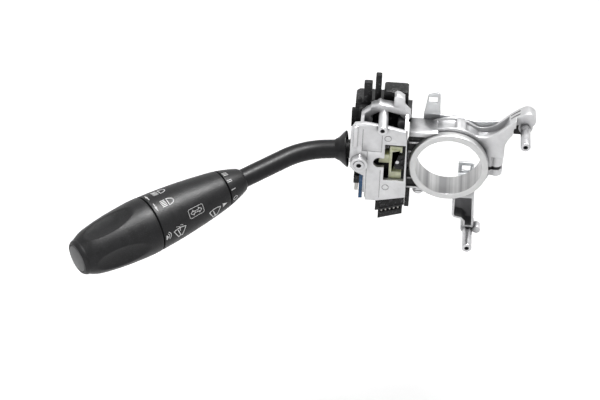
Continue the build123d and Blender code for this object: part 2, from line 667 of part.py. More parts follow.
def cover_rivets():
    """Rivets through the cover plate into the band's rear rim."""
    y1 = RING_LENGTH + COVER_THICKNESS
    rivets = []
    for x, z in rivet_places():
        rivet = rod_y(RIVET_R, x, z, RING_LENGTH - RIVET_LENGTH, y1)
        rivet += rod_y(RIVET_HEAD_R, x, z, y1, y1 + RIVET_HEAD)
        rivets.append(rivet.solid())
    return Compound(children=rivets)


# ================================================================ switch frame
def switch_frame():
    """Die-cast front plate with the window, the pivot boss and the lower walls."""
    y0, y1 = FRAME_FRONT_Y, FRAME_FRONT_Y + FRAME_PLATE
    plate = front_sketch(outline([
        (-3.6, 34.3), (-5.7, 30.3), (-6.0, 8.0), (-5.4, 2.0), (-2.0, -1.4), (3.0, -4.0), (4.0, -19.6),
        (4.9, -22.3),
        (11.3, -22.5), (MODULE_RIGHT, FRAME_RIGHT_FOOT_Z), (28.0, 20.9), (26.9, 30.4), (16.5, 33.0),
        (12.0, 33.6),
        (2.3, 35.2)]), y0, y1)
    x0, x1, z0, z1 = FRAME_SIDE_RIB
    frame = plate + lower_walls(y1) + block(x0, x1, y0 - FRAME_SIDE_RIB_PROUD, y1, z0, z1)
    frame += rod_y(BOSS_R, 0, TURN_Z, BOSS_FRONT_Y, y1)
    frame -= rod_y(PIVOT_R + SHAFT_FIT, 0, TURN_Z, BOSS_FRONT_Y - 1, y1 + 1)
    frame -= rod_y(POST_R + SHAFT_FIT, *LEFT_POST, y0 - 1, y1 + 1)
    frame -= plate_window(y0, y1)
    for x, z in EJECTOR_MARKS:
        frame -= rod_y(EJECTOR_R, x, z, y0 - 1, y0 + EJECTOR_DEPTH) - rod_y(EJECTOR_CORE_R, x, z, y0 - 2, y1)
    for left, right, bottom, top in PANEL_LINES:
        frame -= block(left, right, y0 - 1, y0 + PANEL_LINE_DEPTH, bottom, top)
    return frame


def plate_window(y0, y1):
    """Opening of the front plate: the slider's window and the keyhole beside it."""
    x0, x1, z0, z1 = WINDOW
    kx, kz = KEYHOLE
    opening = block(x0, x1, y0 - 1, y1 + 1, z0, z1) + rod_y(KEYHOLE_R, kx, kz, y0 - 1, y1 + 1)
    return opening + block(kx, x0 + 1, y0 - 1, y1 + 1, kz - KEYHOLE_SLOT / 2, kz + KEYHOLE_SLOT / 2)


def lower_walls(y_front):
    """Bottom wall, board wall and lower right wall behind the front plate."""
    w = FRAME_WALL
    foot = FRAME_RIGHT_FOOT_Z
    walls = front_sketch(outline([
        (4.0, -18.4), (4.9, -22.3), (11.3, -22.5), (MODULE_RIGHT, foot), (MODULE_RIGHT, foot + w),
        (11.5, w - 22.5),
        (6.8, w - 22.3), (6.0, -18.4)]), y_front, FRAME_BACK_Y)
    walls += block(BOARD_X, BOARD_X + w, y_front, FRAME_BACK_Y, -18.6, -6.6)
    return walls + block(MODULE_RIGHT - 1.4, MODULE_RIGHT, y_front, FRAME_BACK_Y, foot, SLIDER_BOTTOM_Z - 0.8)


def frame_arch():
    """Die-cast arch behind the plate's top, with the side walls, the horn and the left post."""
    y_front = FRAME_FRONT_Y + FRAME_PLATE
    yb = FRAME_BACK_Y
    left, right = FRAME_LEFT_WALL_X, FRAME_RIGHT_WALL_X
    w = FRAME_WALL
    arch = front_sketch(outline([
        (left, 21.9), (left, 30.5), (2.5, 33.6), (5.0, 35.4), (5.1, 37.2), (8.8, 39.0), (10.1, 40.4),
        (11.7, 39.4), (18.7, 38.6), (18.7, 45.2), (20.1, 46.6), (22.0, 46.2), (25.0, 44.0), (25.4, 37.5),
        (29.1, 33.6), (29.1, 31.4), (right + w, 29.0), (right + w, 24.0), (right, 24.0), (right, 29.4),
        (22.5, 33.0), (16.0, 34.6), (10.0, 34.0),
        (4.8, 30.6), (left + w, 28.0), (left + w, 21.9)]), ARCH_FRONT_Y, yb)
    arch += side_profile([(y_front, 21.9), (y_front, 34.0), (ARCH_FRONT_Y, 31.5), (yb, 30.5), (yb, 21.9)],
                         left, left + w)
    arch += side_profile([(y_front, 21.0), (y_front, 30.2), (ARCH_FRONT_Y, 33.4), (yb, 33.4), (yb, 21.0)],
                         right, right + w)
    for x, z in FRAME_SCREWS:
        arch += rod_y(SCREW_R + FRAME_SCREW_BOSS, x, z, ARCH_FRONT_Y, yb)
    arch += rod_y(POST_R, *LEFT_POST, ARCH_FRONT_Y, yb)
    for x, z in FRAME_SCREWS:
        arch -= rod_y(SCREW_R + SHAFT_FIT, x, z, yb - FRAME_SCREW_GRIP - SEAT_GAP, yb + 1)
    return arch + screw_post(*LEFT_POST, ARCH_FRONT_Y + 1)


def frame_screw(x, z):
    """Long cross-recess screw from the rear cover into the frame."""
    seat = HOUSING_BACK_Y + COVER_PLATE
    top = seat + SCREW_HEAD
    arm, half = SCREW_CROSS
    screw = rod_y(SCREW_HEAD_R, x, z, seat, top) + rod_y(SCREW_R, x, z, FRAME_BACK_Y - FRAME_SCREW_GRIP, seat)
    cross = block(x - arm, x + arm, top - SCREW_RECESS, top + 1, z - half, z + half)
    cross += block(x - half, x + half, top - SCREW_RECESS, top + 1, z - arm, z + arm)
    return (screw - cross).solid()


def frame_screws():
    """Screws that hold the rear housing to the frame."""
    return Compound(children=[frame_screw(x, z) for x, z in FRAME_SCREWS])


# ================================================================ turn carrier
def turn_carrier():
    """Yoke that turns about the column-wise axis, with a nose towards the cancelling slider."""
    c, l, r, t = YOKE_CORNER, YOKE_LEFT, YOKE_RIGHT, YOKE_TOP
    side = [(-l, t - c), (-l + 3, t), (r - c - 0.5, t), (r, t - c - 0.5)]
    points = side + [(x, -z) for x, z in reversed(side)]
    shell = front_sketch(outline([(x, TURN_Z + z) for x, z in points]), YOKE_FRONT_Y, YOKE_BACK_Y)
    s = YOKE_SHELF
    shell -= block(-l - 1, ROOT_RIGHT + 0.9, YOKE_FRONT_Y + YOKE_ARM, YOKE_BACK_Y - YOKE_ARM,
                   TURN_Z - t + s, TURN_Z + t - s)
    nose = block(r - 1, NOSE_REACH, -NOSE_HALF_WIDTH, NOSE_HALF_WIDTH, TURN_Z - NOSE_HALF_HEIGHT,
                 TURN_Z + NOSE_HALF_HEIGHT)
    nose &= rod_y(NOSE_REACH, 0, TURN_Z, -10, 10)
    yoke = shell + nose
    yoke -= rod_z(TILT_PIN_R + SHAFT_FIT / 2, 0, LEVER_Y, TURN_Z - t - 1, TURN_Z + t + 1)
    yoke -= rod_y(PIVOT_R + SHAFT_FIT / 2, 0, TURN_Z, YOKE_FRONT_Y - 1, YOKE_FRONT_Y + YOKE_ARM + 1)
    yoke -= rod_y(PIVOT_R + SHAFT_FIT / 2, 0, TURN_Z, YOKE_BACK_Y - YOKE_ARM - 1, YOKE_BACK_Y + 1)
    return yoke


def turn_pivot_pins():
    """Front and rear stub pins of the turn joint."""
    front_end = BOSS_FRONT_Y - PIVOT_PROUD
    front = rod_y(PIVOT_R, 0, TURN_Z, front_end, YOKE_FRONT_Y + YOKE_ARM)
    front -= rod_y(PIVOT_HOLE_R, 0, TURN_Z, front_end - 1, front_end + PIVOT_HOLE_DEPTH)
    rear = rod_y(PIVOT_R, 0, TURN_Z, YOKE_BACK_Y - YOKE_ARM, HOUSING_FRONT_Y + PIVOT_REAR_LENGTH)
    return Compound(children=[front.solid(), rear])


# ================================================================ lever root
def lever_root():
    """Block on the tilt pin, with the spigot that carries the stalk tube."""
    reach = YOKE_TOP - YOKE_SHELF - MOVE_GAP
    body = block(-ROOT_LEFT, ROOT_RIGHT, LEVER_Y - ROOT_HALF_WIDTH, LEVER_Y + ROOT_HALF_WIDTH,
                 TURN_Z - reach, TURN_Z + reach)
    body = fillet(body.edges().filter_by(Axis.Z), 1.0)
    body += ROOT_PLANE * rod_z(TUBE_BORE_R - SHAFT_FIT, 0, 0, ROOT_HALF_WIDTH / 2, TUBE_START + SPIGOT_LENGTH)
    body += ROOT_PLANE * rod_z(TUBE_R, 0, 0, ROOT_HALF_WIDTH / 2, TUBE_START)
    return body - rod_z(TILT_PIN_R + SHAFT_FIT, 0, LEVER_Y, -20, 40)


def tilt_pin():
    """Upright pin through the yoke and the lever's root."""
    return rod_z(TILT_PIN_R, 0, LEVER_Y, TURN_Z - YOKE_TOP, TURN_Z + YOKE_TOP)


def stalk_tube():
    """Bent tube from the lever's root to the end of the handle."""
    start = TILT_POINT + ROOT_DIRECTION * TUBE_START
    end = BEND_POINT + HANDLE_PLANE.z_dir * TUBE_END
    path = FilletPolyline(start, BEND_POINT, end, radius=TUBE_BEND_R)
    section = Plane(origin=start, z_dir=ROOT_DIRECTION) * (Circle(TUBE_R) - Circle(TUBE_BORE_R))
    return sweep(section, path=path)


def lever_boot():
    """Trumpet-shaped collar of the stalk where it meets the switch frame."""
    s = BOOT_START
    e = BOOT_START + BOOT_LENGTH
    inner = TUBE_R + SHAFT_FIT
    flare = Spline((BOOT_R, s + 0.6), (BOOT_R - 2.0, s + 2.8), (BOOT_R - 3.9, s + 4.9), (inner + 0.5, e))
    rest = Polyline((inner + 0.5, e), (inner, e), (inner, s + 4.0), (BOOT_R - 1.6, s), (BOOT_R, s),
                    (BOOT_R, s + 0.6))
    return ROOT_PLANE * turned_z(flare, rest)


# ================================================================ handle, along its own axis from the bend
def sleeve_arc(shrink, z0, z1):
    """Long side profile of the sleeve, shrunk by a wall."""
    mid = (SLEEVE_MID_R - shrink, (z0 + z1) / 2)
    return ThreePointArc((SLEEVE_SMALL_R - shrink, z0), mid, (SLEEVE_LARGE_R - shrink, z1))


def handle_sleeve():
    """Gently swelling fixed shell of the handle."""
    z0, z1, w, c = SLEEVE_START, SLEEVE_END, SLEEVE_WALL, EDGE_BREAK
    hole = ROTOR_R + MOVE_GAP
    tail = Polyline((SLEEVE_LARGE_R, z1 - c), (SLEEVE_LARGE_R - c, z1), (SLEEVE_LARGE_R - w, z1))
    front = Polyline((SLEEVE_SMALL_R - w, z0 + w), (hole, z0 + w), (hole, z0), (SLEEVE_SMALL_R - c, z0),
                     (SLEEVE_SMALL_R, z0 + c))
    bore = Line((SLEEVE_LARGE_R - w, z1), (SLEEVE_LARGE_R - w, z1 - c))
    return turned_z(sleeve_arc(0, z0 + c, z1 - c), tail, bore, sleeve_arc(w, z0 + w, z1 - c), front)


def sleeve_cavity():
    """Space inside the sleeve, a fit smaller all round."""
    z0, z1 = SLEEVE_START + SLEEVE_WALL, SLEEVE_END - EDGE_BREAK
    w = SLEEVE_WALL + SHAFT_FIT
    rest = Polyline((SLEEVE_SMALL_R - w, z0), (0, z0), (0, z1), (SLEEVE_LARGE_R - w, z1))
    return turned_z(sleeve_arc(w, z0, z1), rest)


def sleeve_bulkhead():
    """Fixed disc inside the sleeve with arc windows for the rotor's prongs."""
    z0, z1 = BULKHEAD_START, BULKHEAD_START + BULKHEAD
    disc = tube_z(SLEEVE_LARGE_R, TUBE_R + SHAFT_FIT / 2, z0, z1) & sleeve_cavity()
    half = PRONG_HALF_ANGLE + ROTARY_RANGE / 2 + WINDOW_SIDE_ANGLE
    for turn in (0, 180):
        window = sector_z(ROTOR_R + MOVE_GAP, half, z0 - 1, z1 + 1, turn + ROTARY_RANGE / 2)
        disc -= window - rod_z(TUBE_R, 0, 0, z0 - 2, z1 + 2)
    return disc


def wiper_rotor():
    """Tube round the stalk that joins the number ring to the knob through two prongs."""
    bore = TUBE_R + SHAFT_FIT
    rotor = tube_z(ROTOR_R, bore, ROTOR_START, ROTOR_END)
    prong_tube = tube_z(ROTOR_R, bore, ROTOR_END - 0.5, PRONG_END)
    for turn in (0, 180):
        rotor += prong_tube & sector_z(ROTOR_R + 2, PRONG_HALF_ANGLE, ROTOR_END - 0.5, PRONG_END, turn)
    return rotor


def number_ring():
    """Conical ring with the wiper numerals."""
    z0, z1, e = RING_START, RING_END, RING_EDGE
    lip = TUBE_R + MOVE_GAP
    inner = ROTOR_R + SHAFT_FIT / 2
    outer = ThreePointArc((RING_SMALL_R, z0 + e), (RING_MID_R, (z0 + z1) / 2), (RING_LARGE_R, z1 - e))
    rest = Polyline((RING_LARGE_R, z1 - e), (RING_LARGE_R - e, z1), (inner, z1), (inner, ROTOR_START),
                    (lip, ROTOR_START), (lip, z0), (RING_SMALL_R - e, z0), (RING_SMALL_R, z0 + e))
    return turned_z(outer, rest)


def knob_side():
    """Side profile of the knob from its open end to the start of its tip, as an edge."""
    return Spline(*[(r, KNOB_START + z) for r, z in KNOB_PROFILE])


def wiper_knob():
    """Knob shell with a keyed hub, finger scoops and a bore for the end button."""
    z0, z1 = KNOB_START, KNOB_END
    r0 = KNOB_PROFILE[0][0]
    r1, tip = KNOB_PROFILE[-1][0], KNOB_START + KNOB_PROFILE[-1][1]
    nose = ThreePointArc((r1, tip), ((r1 + KNOB_TIP_R) / 2 + 0.3, (tip + z1) / 2 + 0.3), (KNOB_TIP_R, z1))
    body = turned_z(knob_side(), nose, Polyline((KNOB_TIP_R, z1), (0, z1), (0, z0), (r0 - EDGE_BREAK, z0),
                                                (r0, z0)))
    body -= knob_cavity()
    body -= rod_z(ROTOR_R + MOVE_GAP, 0, 0, z0 - 1, HUB_START)
    body -= rod_z(TUBE_R + SHAFT_FIT, 0, 0, z0 - 1, HUB_END + BUTTON_FLOOR)
    body -= rod_z(BUTTON_R + MOVE_GAP, 0, 0, HUB_END + BUTTON_FLOOR, z1 + 1)
    for turn in (0, 180):
        body -= sector_z(ROTOR_R + SHAFT_FIT, PRONG_HALF_ANGLE + PRONG_SIDE_ANGLE, z0 - 1,
                         PRONG_END + MOVE_GAP, turn)
    for index in range(SCOOP_COUNT):
        body -= Rot(0, 0, index * 360 / SCOOP_COUNT) * scoop()
    return body


def knob_cavity():
    """Hollow between the knob's shell and its hub."""
    z0 = KNOB_START + KNOB_FLOOR
    z1 = HUB_END - 2.0
    inner = Spline((CAVITY_R, z0), (CAVITY_R, z0 + 7.5), (CAVITY_R - 1.8, z0 + 17.5), (HUB_R + 0.8, z1))
    rest = Polyline((HUB_R + 0.8, z1), (HUB_R, z1), (HUB_R, HUB_START), (ROTOR_R + 4, HUB_START),
                    (ROTOR_R + 4, z0), (CAVITY_R, z0))
    return turned_z(inner, rest)


def scoop():
    """Barrel-shaped cutter for one finger scoop, laid along the knob's side."""
    h = SCOOP_HALF_LENGTH
    sag = SCOOP_LONG_R - (SCOOP_LONG_R ** 2 - h ** 2) ** 0.5
    end_r = SCOOP_R - sag
    barrel = turned_z(ThreePointArc((end_r, -h), (SCOOP_R, 0), (end_r, h)),
                      Polyline((end_r, h), (0, h), (0, -h), (end_r, -h)))
    reach = SCOOP_FACE_R + SCOOP_R - SCOOP_DEPTH
    return Pos(reach, 0, KNOB_START + SCOOP_MIDDLE) * Rot(0, -SCOOP_TILT, 0) * barrel


def wash_button():
    """Push button in the knob's end, guided on a stem in the tube."""
    face_z = KNOB_END + BUTTON_PROUD
    outer, inner, depth = BUTTON_POCKET
    rim = (BUTTON_R, face_z - BUTTON_CROWN)
    crown = ThreePointArc((0, face_z), (BUTTON_R * 0.6, face_z - BUTTON_CROWN / 4), rim)
    head = turned_z(crown, Polyline(rim, (BUTTON_R, BUTTON_START), (0, BUTTON_START), (0, face_z)))
    stem = rod_z(TUBE_BORE_R - SHAFT_FIT, 0, 0, TUBE_END - BUTTON_STEM_LENGTH, BUTTON_START)
    return head + stem - tube_z(outer, inner, BUTTON_START - 1, BUTTON_START + depth)


def wash_spring():
    """Coil spring that returns the end button."""
    start = HUB_END + BUTTON_FLOOR + WASH_WIRE_R + SEAT_GAP
    end = BUTTON_START + BUTTON_POCKET[2] - WASH_WIRE_R - SEAT_GAP
    return Pos(0, 0, start) * coil(WASH_SPRING_R, WASH_WIRE_R, end - start, WASH_SPRING_TURNS)


# ================================================================ cancelling slider, pawl and guide
def cancel_slider():
    """Cream slider that carries the cancelling pawl towards the column."""
    y0, y1 = SLIDER_FRONT_Y, SLIDER_BACK_Y
    px, pz = PAWL_CENTRE
    full = block(SLIDER_LEFT_X, SLIDER_RIGHT_X, y0, y1, SLIDER_BOTTOM_Z, SLIDER_TOP_Z)
    pawl_room = block(SLIDER_STEP_X, SLIDER_RIGHT_X + 1, y0 - 1, SLIDER_BASE_Y, pz - PAWL_ROOM, pz + PAWL_ROOM)
    arm_left = NOSE_REACH + MOVE_GAP - 1.5
    arm = block(arm_left, SLIDER_LEFT_X + 1, y0 + SLIDER_ARM_SINK, y1, TURN_Z - SLIDER_ARM_HALF,
                TURN_Z + SLIDER_ARM_HALF)
    arm -= rod_y(NOSE_REACH + MOVE_GAP, 0, TURN_Z, -20, 20)
    lx0, lx1, lz0, lz1 = SLIDER_LIP
    lip = block(lx0, lx1, y0 - 1, y0 + SLIDER_LIP_DEPTH, lz0, lz1)
    return full - pawl_room - lip + arm - rod_y(PAWL_PIN_R + SHAFT_FIT / 2, px, pz, -20, 20)


def pawl_pin():
    """Pin that carries the pawl on the slider."""
    return rod_y(PAWL_PIN_R, *PAWL_CENTRE, SLIDER_FRONT_Y, SLIDER_BACK_Y)


def cancel_pawl():
    """Two-horned pawl that the steering column strikes."""
    px, pz = PAWL_CENTRE
    h = PAWL_HALF_HEIGHT
    upper = [(-1.4, h - 0.4), (PAWL_REACH, h), (PAWL_REACH, h - 2.4), (1.6, 1.8), (PAWL_REACH + 0.4, 1.4)]
    lower = [(x, -z) for x, z in reversed(upper)]
    face = outline([(px + x, pz + z) for x, z in upper + lower + [(-2.2, 0)]])
    pawl = front_sketch(face, SLIDER_FRONT_Y + PAWL_SINK, SLIDER_BASE_Y - MOVE_GAP)
    return pawl - rod_y(PAWL_PIN_R + SHAFT_FIT, px, pz, -20, 20)


def slider_guide():
    """Black guide behind and round the cream slider."""
    gap = MOVE_GAP
    y0 = SLIDER_BACK_Y + gap
    y1 = y0 + GUIDE_BACK
    top = SLIDER_TOP_Z + gap
    bottom = SLIDER_BOTTOM_Z - gap
    stop_z0, stop_z1 = GUIDE_STOP_Z
    x1 = MODULE_RIGHT - 1.4 - SEAT_GAP
    plate = block(GUIDE_STOP_X - GUIDE_STOP, x1, y0, y1, bottom - GUIDE_RAIL, top + GUIDE_RAIL)
    nose_room = rod_y(NOSE_REACH + MOVE_GAP, 0, TURN_Z, -20, 20)
    plate -= nose_room - block(-30, GUIDE_STOP_X, -30, 30, stop_z0, 60)
    rails = block(GUIDE_LEFT_X, x1, SLIDER_FRONT_Y, y0, top, top + GUIDE_RAIL)
    rails += block(GUIDE_LEFT_X, x1, SLIDER_FRONT_Y, y0, bottom - GUIDE_RAIL, bottom)
    return plate + rails + block(GUIDE_STOP_X - GUIDE_STOP, GUIDE_STOP_X, SLIDER_FRONT_Y, y1, stop_z0, stop_z1)


def cancel_spring():
    """Light tension spring that draws the slider back."""
    length = SLIDER_LEFT_X - GUIDE_STOP_X - 4 * CANCEL_WIRE_R
    y = (SLIDER_FRONT_Y + SLIDER_BACK_Y) / 2
    return Pos(GUIDE_STOP_X + 2 * CANCEL_WIRE_R, y, CANCEL_SPRING_Z) * Rot(0, 90, 0) * coil(
        CANCEL_SPRING_R, CANCEL_WIRE_R, length, CANCEL_SPRING_TURNS)


# ================================================================ black housings
def mechanism_roof():
    """Black roof over the turn mechanism with two ribs."""
    gap = SEAT_GAP
    z0 = MECHANISM_ROOF_Z
    front, back = FRAME_FRONT_Y + FRAME_PLATE, ARCH_FRONT_Y - gap
    left, right = FRAME_LEFT_WALL_X + FRAME_WALL + gap, FRAME_RIGHT_WALL_X - gap
    roof = block(left, right, front, back, z0, z0 + ROOF_THICKNESS)
    for x in ROOF_RIB_X:
        roof += block(x, x + ROOF_RIB, front + 3, back, z0 + ROOF_THICKNESS, ROOF_RIB_TOP_Z)
    return roof


def rear_housing():
    """Black housing of the contact plates with the stepped fins on top."""
    x0, x1 = HOUSING_LEFT_X, HOUSING_RIGHT_X
    front = HOUSING_FRONT_Y
    body = block(x0, x1, front, HOUSING_BACK_Y, HOUSING_BOTTOM_Z, HOUSING_TOP_Z)
    body = fillet(body.edges().filter_by(Axis.Y), HOUSING_CORNER)
    body += block(x0 + 2.5, x1 - 1.5, FRAME_BACK_Y, front + 1, MECHANISM_ROOF_Z, HOUSING_TOP_Z - 2)
    body += block(3.0, x1 - 0.6, FRAME_BACK_Y, front + 1, HOUSING_BOTTOM_Z, -7.0)
    body += block(SOCKET_BOX[0], SOCKET_BOX[1], SOCKET_FRONT_Y, SOCKET_BACK_Y, HOUSING_TOP_Z - 6, HOUSING_TOP_Z)
    body += block(x1 - 0.7, x1 + 2.5, FRAME_BACK_Y + 0.6, front + 5, LINK_TOP_Z + SEAT_GAP, HOUSING_TOP_Z)
    for fin_x0, fin_x1, top in FINS:
        fin = block(fin_x0, fin_x1, front, front + FIN_DEPTH, FIN_BOTTOM_Z, top)
        body += fillet(fin.edges().filter_by(Axis.Y).group_by(Axis.Z)[-1], FIN_ROUND)
    body -= rod_y(PIVOT_R + SHAFT_FIT, 0, TURN_Z, front - 1, front + PIVOT_REAR_LENGTH + MOVE_GAP)
    for x, z in FRAME_SCREWS:
        body -= rod_y(SCREW_R + SHAFT_FIT, x, z, FRAME_BACK_Y - 1, HOUSING_BACK_Y + 1)
    return body


def rear_cover():
    """Lid on the back of the rear housing with a raised field."""
    seat = HOUSING_BACK_Y + COVER_PLATE
    width = HOUSING_RIGHT_X - HOUSING_LEFT_X - 2 * COVER_INSET
    height = HOUSING_TOP_Z - HOUSING_BOTTOM_Z - 2 * COVER_INSET
    side, ends, thickness = COVER_RAISED
    centre = Pos((HOUSING_LEFT_X + HOUSING_RIGHT_X) / 2, (HOUSING_TOP_Z + HOUSING_BOTTOM_Z) / 2)
    lid = front_sketch(centre * RectangleRounded(width, height, HOUSING_CORNER), HOUSING_BACK_Y, seat)
    lid += front_sketch(centre * RectangleRounded(width - side, height - ends, HOUSING_CORNER), seat,
                        seat + thickness)
    for x, z in FRAME_SCREWS:
        lid -= rod_y(SCREW_R + SHAFT_FIT, x, z, HOUSING_BACK_Y - 1, seat + 2)
        lid -= rod_y(SCREW_HEAD_R + MOVE_GAP, x, z, seat, seat + 3)
    return lid


def harness_socket():
    """Upper connector shell that opens to the rear."""
    x0, x1, z0, z1 = SOCKET_BOX
    shell = block(x0, x1, SOCKET_FRONT_Y, SOCKET_BACK_Y, z0, z1)
    shell = fillet(shell.edges().filter_by(Axis.Y).group_by(Axis.Z)[-1], SOCKET_ROUND)
    w = SOCKET_WALL
    shell -= block(x0 + w, x1 - w, SOCKET_BACK_Y - SOCKET_DEPTH, SOCKET_BACK_Y + 1, z0 + w, z1 - w)
    width, length, depth = SOCKET_NOTCH
    notch_x = (x0 + x1 - width) / 2
    end = SOCKET_FRONT_Y + length
    return shell - block(notch_x, notch_x + width, SOCKET_FRONT_Y - 1, end, z1 - depth, z1 + 1)


def harness_socket_pins():
    """Two rows of contact pins in the upper connector."""
    x0, x1, z0, z1 = SOCKET_BOX
    floor_y = SOCKET_BACK_Y - SOCKET_DEPTH
    left, right = x0 + 2 * SOCKET_WALL + 1, x1 - 2 * SOCKET_WALL - 1
    pins = []
    for row_z in (z0 + SOCKET_ROW_INSET, z1 - SOCKET_ROW_INSET):
        for i in range(SOCKET_COLUMNS):
            x = left + i * (right - left) / (SOCKET_COLUMNS - 1)
            half = PIN_SIZE / 2
            pins.append(block(x - half, x + half, floor_y, floor_y + SOCKET_PIN, row_z - half, row_z + half))
    return Compound(children=pins)


def plug_plane():
    """Plane of the lower connector's front, whose right end stands further back."""
    yaw = radians(PLUG_YAW)
    return Plane(origin=(PLUG_UPPER[0], PLUG_FRONT_Y, PLUG_TOP_Z), x_dir=(cos(yaw), sin(yaw), 0),
                 z_dir=(sin(yaw), -cos(yaw), 0))


def on_plug_front(x0, x1, drop, width, height, depth):
    """A box centred on the connector's slanted front, midway between x0 and x1."""
    middle = ((x0 + x1) / 2 - PLUG_UPPER[0]) / cos(radians(PLUG_YAW))
    return plug_plane() * Pos(middle, -drop, 0) * Box(width, height, depth)


def lower_connector():
    """Stepped connector under the frame with a slot for its contacts."""
    ux0, ux1, uh = PLUG_UPPER
    lx0, lx1, lh = PLUG_LOWER
    step_z = PLUG_TOP_Z - uh
    slot_height, slot_depth = PLUG_SLOT
    body = block(ux0, ux1, PLUG_FRONT_Y, PLUG_BACK_Y, step_z, PLUG_TOP_Z)
    body += block(lx0, lx1, PLUG_FRONT_Y, PLUG_BACK_Y - 1, step_z - lh, step_z)
    body -= plug_plane() * Box(100, 60, 20, align=(Align.CENTER, Align.CENTER, Align.MIN))
    slant = 1 / cos(radians(PLUG_YAW))
    lip_width = (ux1 - ux0) * slant - SEAT_GAP
    body += on_plug_front(ux0, ux1, uh - PLUG_LIP / 2, lip_width, PLUG_LIP, 2 * PLUG_LIP_PROUD)
    body -= on_plug_front(lx0, lx1, uh + PLUG_SLOT_DROP, (lx1 - lx0) * slant - 2.4, slot_height, 2 * slot_depth)
    nx0, nx1, neck_back = PLUG_NECK
    neck = front_sketch(outline([(nx0, PLUG_TOP_Z), (nx0, -22.5), (nx1, FRAME_RIGHT_FOOT_Z - 0.4),
                                 (nx1, PLUG_TOP_Z)]), 1.0, neck_back)
    return body + neck


def lower_contacts():
    """Contacts in the lower connector's slot."""
    lx0, lx1 = PLUG_LOWER[:2]
    contacts = []
    for i in range(PLUG_CONTACTS):
        x = lx0 + 2.4 + i * (lx1 - lx0 - 4.8) / (PLUG_CONTACTS - 1)
        contact = on_plug_front(x, x, PLUG_UPPER[2] + PLUG_SLOT_DROP, *PLUG_CONTACT)
        contacts.append(Pos(*(plug_plane().z_dir * (PLUG_CONTACT[2] / 2 - PLUG_SLOT[1]))) * contact)
    return Compound(children=contacts)


def link_insert():
    """Black inserts between the ribs of the link."""
    gap = SEAT_GAP
    insert = block(LINK_LEFT_X + gap, LINK_INNER_X - 2, LINK_FRONT_Y + LINK_INSERT_SINK, LINK_BACK_Y - gap,
                   LINK_BOTTOM_Z + LINK_BOTTOM_WALL + gap, LINK_TOP_Z - LINK_TOP_WALL - gap)
    insert -= rod_y(BAND_RIM_R + gap, 0, 0, BAND_FRONT_Y - gap, 30)
    insert -= rod_y(FLANGE_R + FLANGE_CLEARANCE + gap, 0, 0, 0, BAND_FRONT_Y)
    insert -= rod_y(LOCATING_SCREW_R + LOCATING_BOSS + gap, *LOCATING_SCREW, 0, 30)
    low, high = LINK_INSERT_GAP
    insert -= block(LINK_LEFT_X - 1, 0, 0, 30, low, high)
    for z in LINK_RIB_Z:
        insert -= block(LINK_LEFT_X - 1, 0, 0, 30, z - LINK_RIB / 2 - gap, z + LINK_RIB / 2 + gap)
    return insert


def side_block():
    """Black filler beside the lower connector."""
    return block(LINK_LEFT_X - 0.2, LINK_LEFT_X + 2.6, 2.0, 16.9, SIDE_BLOCK_BOTTOM_Z, LINK_BOTTOM_Z - SEAT_GAP)


def circuit_board():
    """Blue board on the lower left wall of the frame."""
    return block(BOARD_X - BOARD_THICKNESS, BOARD_X, *BOARD_Y, *BOARD_Z)


def terminal_block():
    """Small black block on the circuit board."""
    sx, sy, sz = TERMINAL_BLOCK_SIZE
    x1 = BOARD_X - BOARD_THICKNESS
    y0 = BOARD_Y[0] + 1.0
    return block(x1 - sx, x1, y0, y0 + sy, TERMINAL_BLOCK_Z, TERMINAL_BLOCK_Z + sz)


def side_terminals():
    """Copper terminals under the small block."""
    x1 = BOARD_X - BOARD_THICKNESS - 0.5
    width, thickness, length = TERMINAL
    z1 = TERMINAL_BLOCK_Z
    return Compound(children=[block(x1 - width, x1, y, y + thickness, z1 - length, z1) for y in TERMINAL_Y])


# ================================================================ all sub-parts
COLUMN_PARTS = (column_ring, column_bracket, lower_arm, clamp_screw, arm_bumper, locating_screw, cover_plate,
                cover_rivets, side_block, link_insert, right_post, lower_post)

SWITCH_PARTS = (switch_frame, frame_arch, frame_screws, turn_carrier, turn_pivot_pins, lever_root, tilt_pin,
                stalk_tube, lever_boot, cancel_slider, pawl_pin, cancel_pawl, slider_guide, cancel_spring,
                mechanism_roof, rear_housing, rear_cover, harness_socket, harness_socket_pins, lower_connector,
                lower_contacts, circuit_board, terminal_block, side_terminals)

HANDLE_PARTS = (handle_sleeve, sleeve_bulkhead, wiper_rotor, number_ring, wiper_knob, wash_button, wash_spring)

for make in COLUMN_PARTS:
    save(make(), make.__name__)
for make in SWITCH_PARTS:
    save(Pos(SWITCH_X, 0, 0) * make(), make.__name__)
for make in HANDLE_PARTS:
    save(Pos(SWITCH_X, 0, 0) * HANDLE_PLANE.location * make(), make.__name__)
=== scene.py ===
"""Studio scene of a combination stalk switch: its finishes, printed symbols and small details."""

import logging
import math
from dataclasses import dataclass
from enum import Enum
from functools import cache
from typing import Callable, Sequence

import bmesh
import bpy
from mathutils import Matrix, Vector


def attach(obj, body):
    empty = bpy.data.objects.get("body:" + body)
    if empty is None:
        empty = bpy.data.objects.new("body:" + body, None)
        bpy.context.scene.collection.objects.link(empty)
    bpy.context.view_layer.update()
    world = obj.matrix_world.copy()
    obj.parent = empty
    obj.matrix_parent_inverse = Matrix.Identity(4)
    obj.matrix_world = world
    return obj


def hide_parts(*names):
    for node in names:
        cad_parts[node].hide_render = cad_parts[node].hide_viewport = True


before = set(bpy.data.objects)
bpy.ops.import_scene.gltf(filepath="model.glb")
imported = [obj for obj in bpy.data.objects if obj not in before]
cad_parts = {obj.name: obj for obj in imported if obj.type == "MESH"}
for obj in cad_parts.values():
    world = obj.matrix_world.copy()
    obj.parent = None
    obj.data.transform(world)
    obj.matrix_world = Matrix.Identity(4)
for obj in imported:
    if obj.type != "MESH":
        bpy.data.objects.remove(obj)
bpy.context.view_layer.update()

LOG = logging.getLogger("stalk_switch")
MM = 0.001
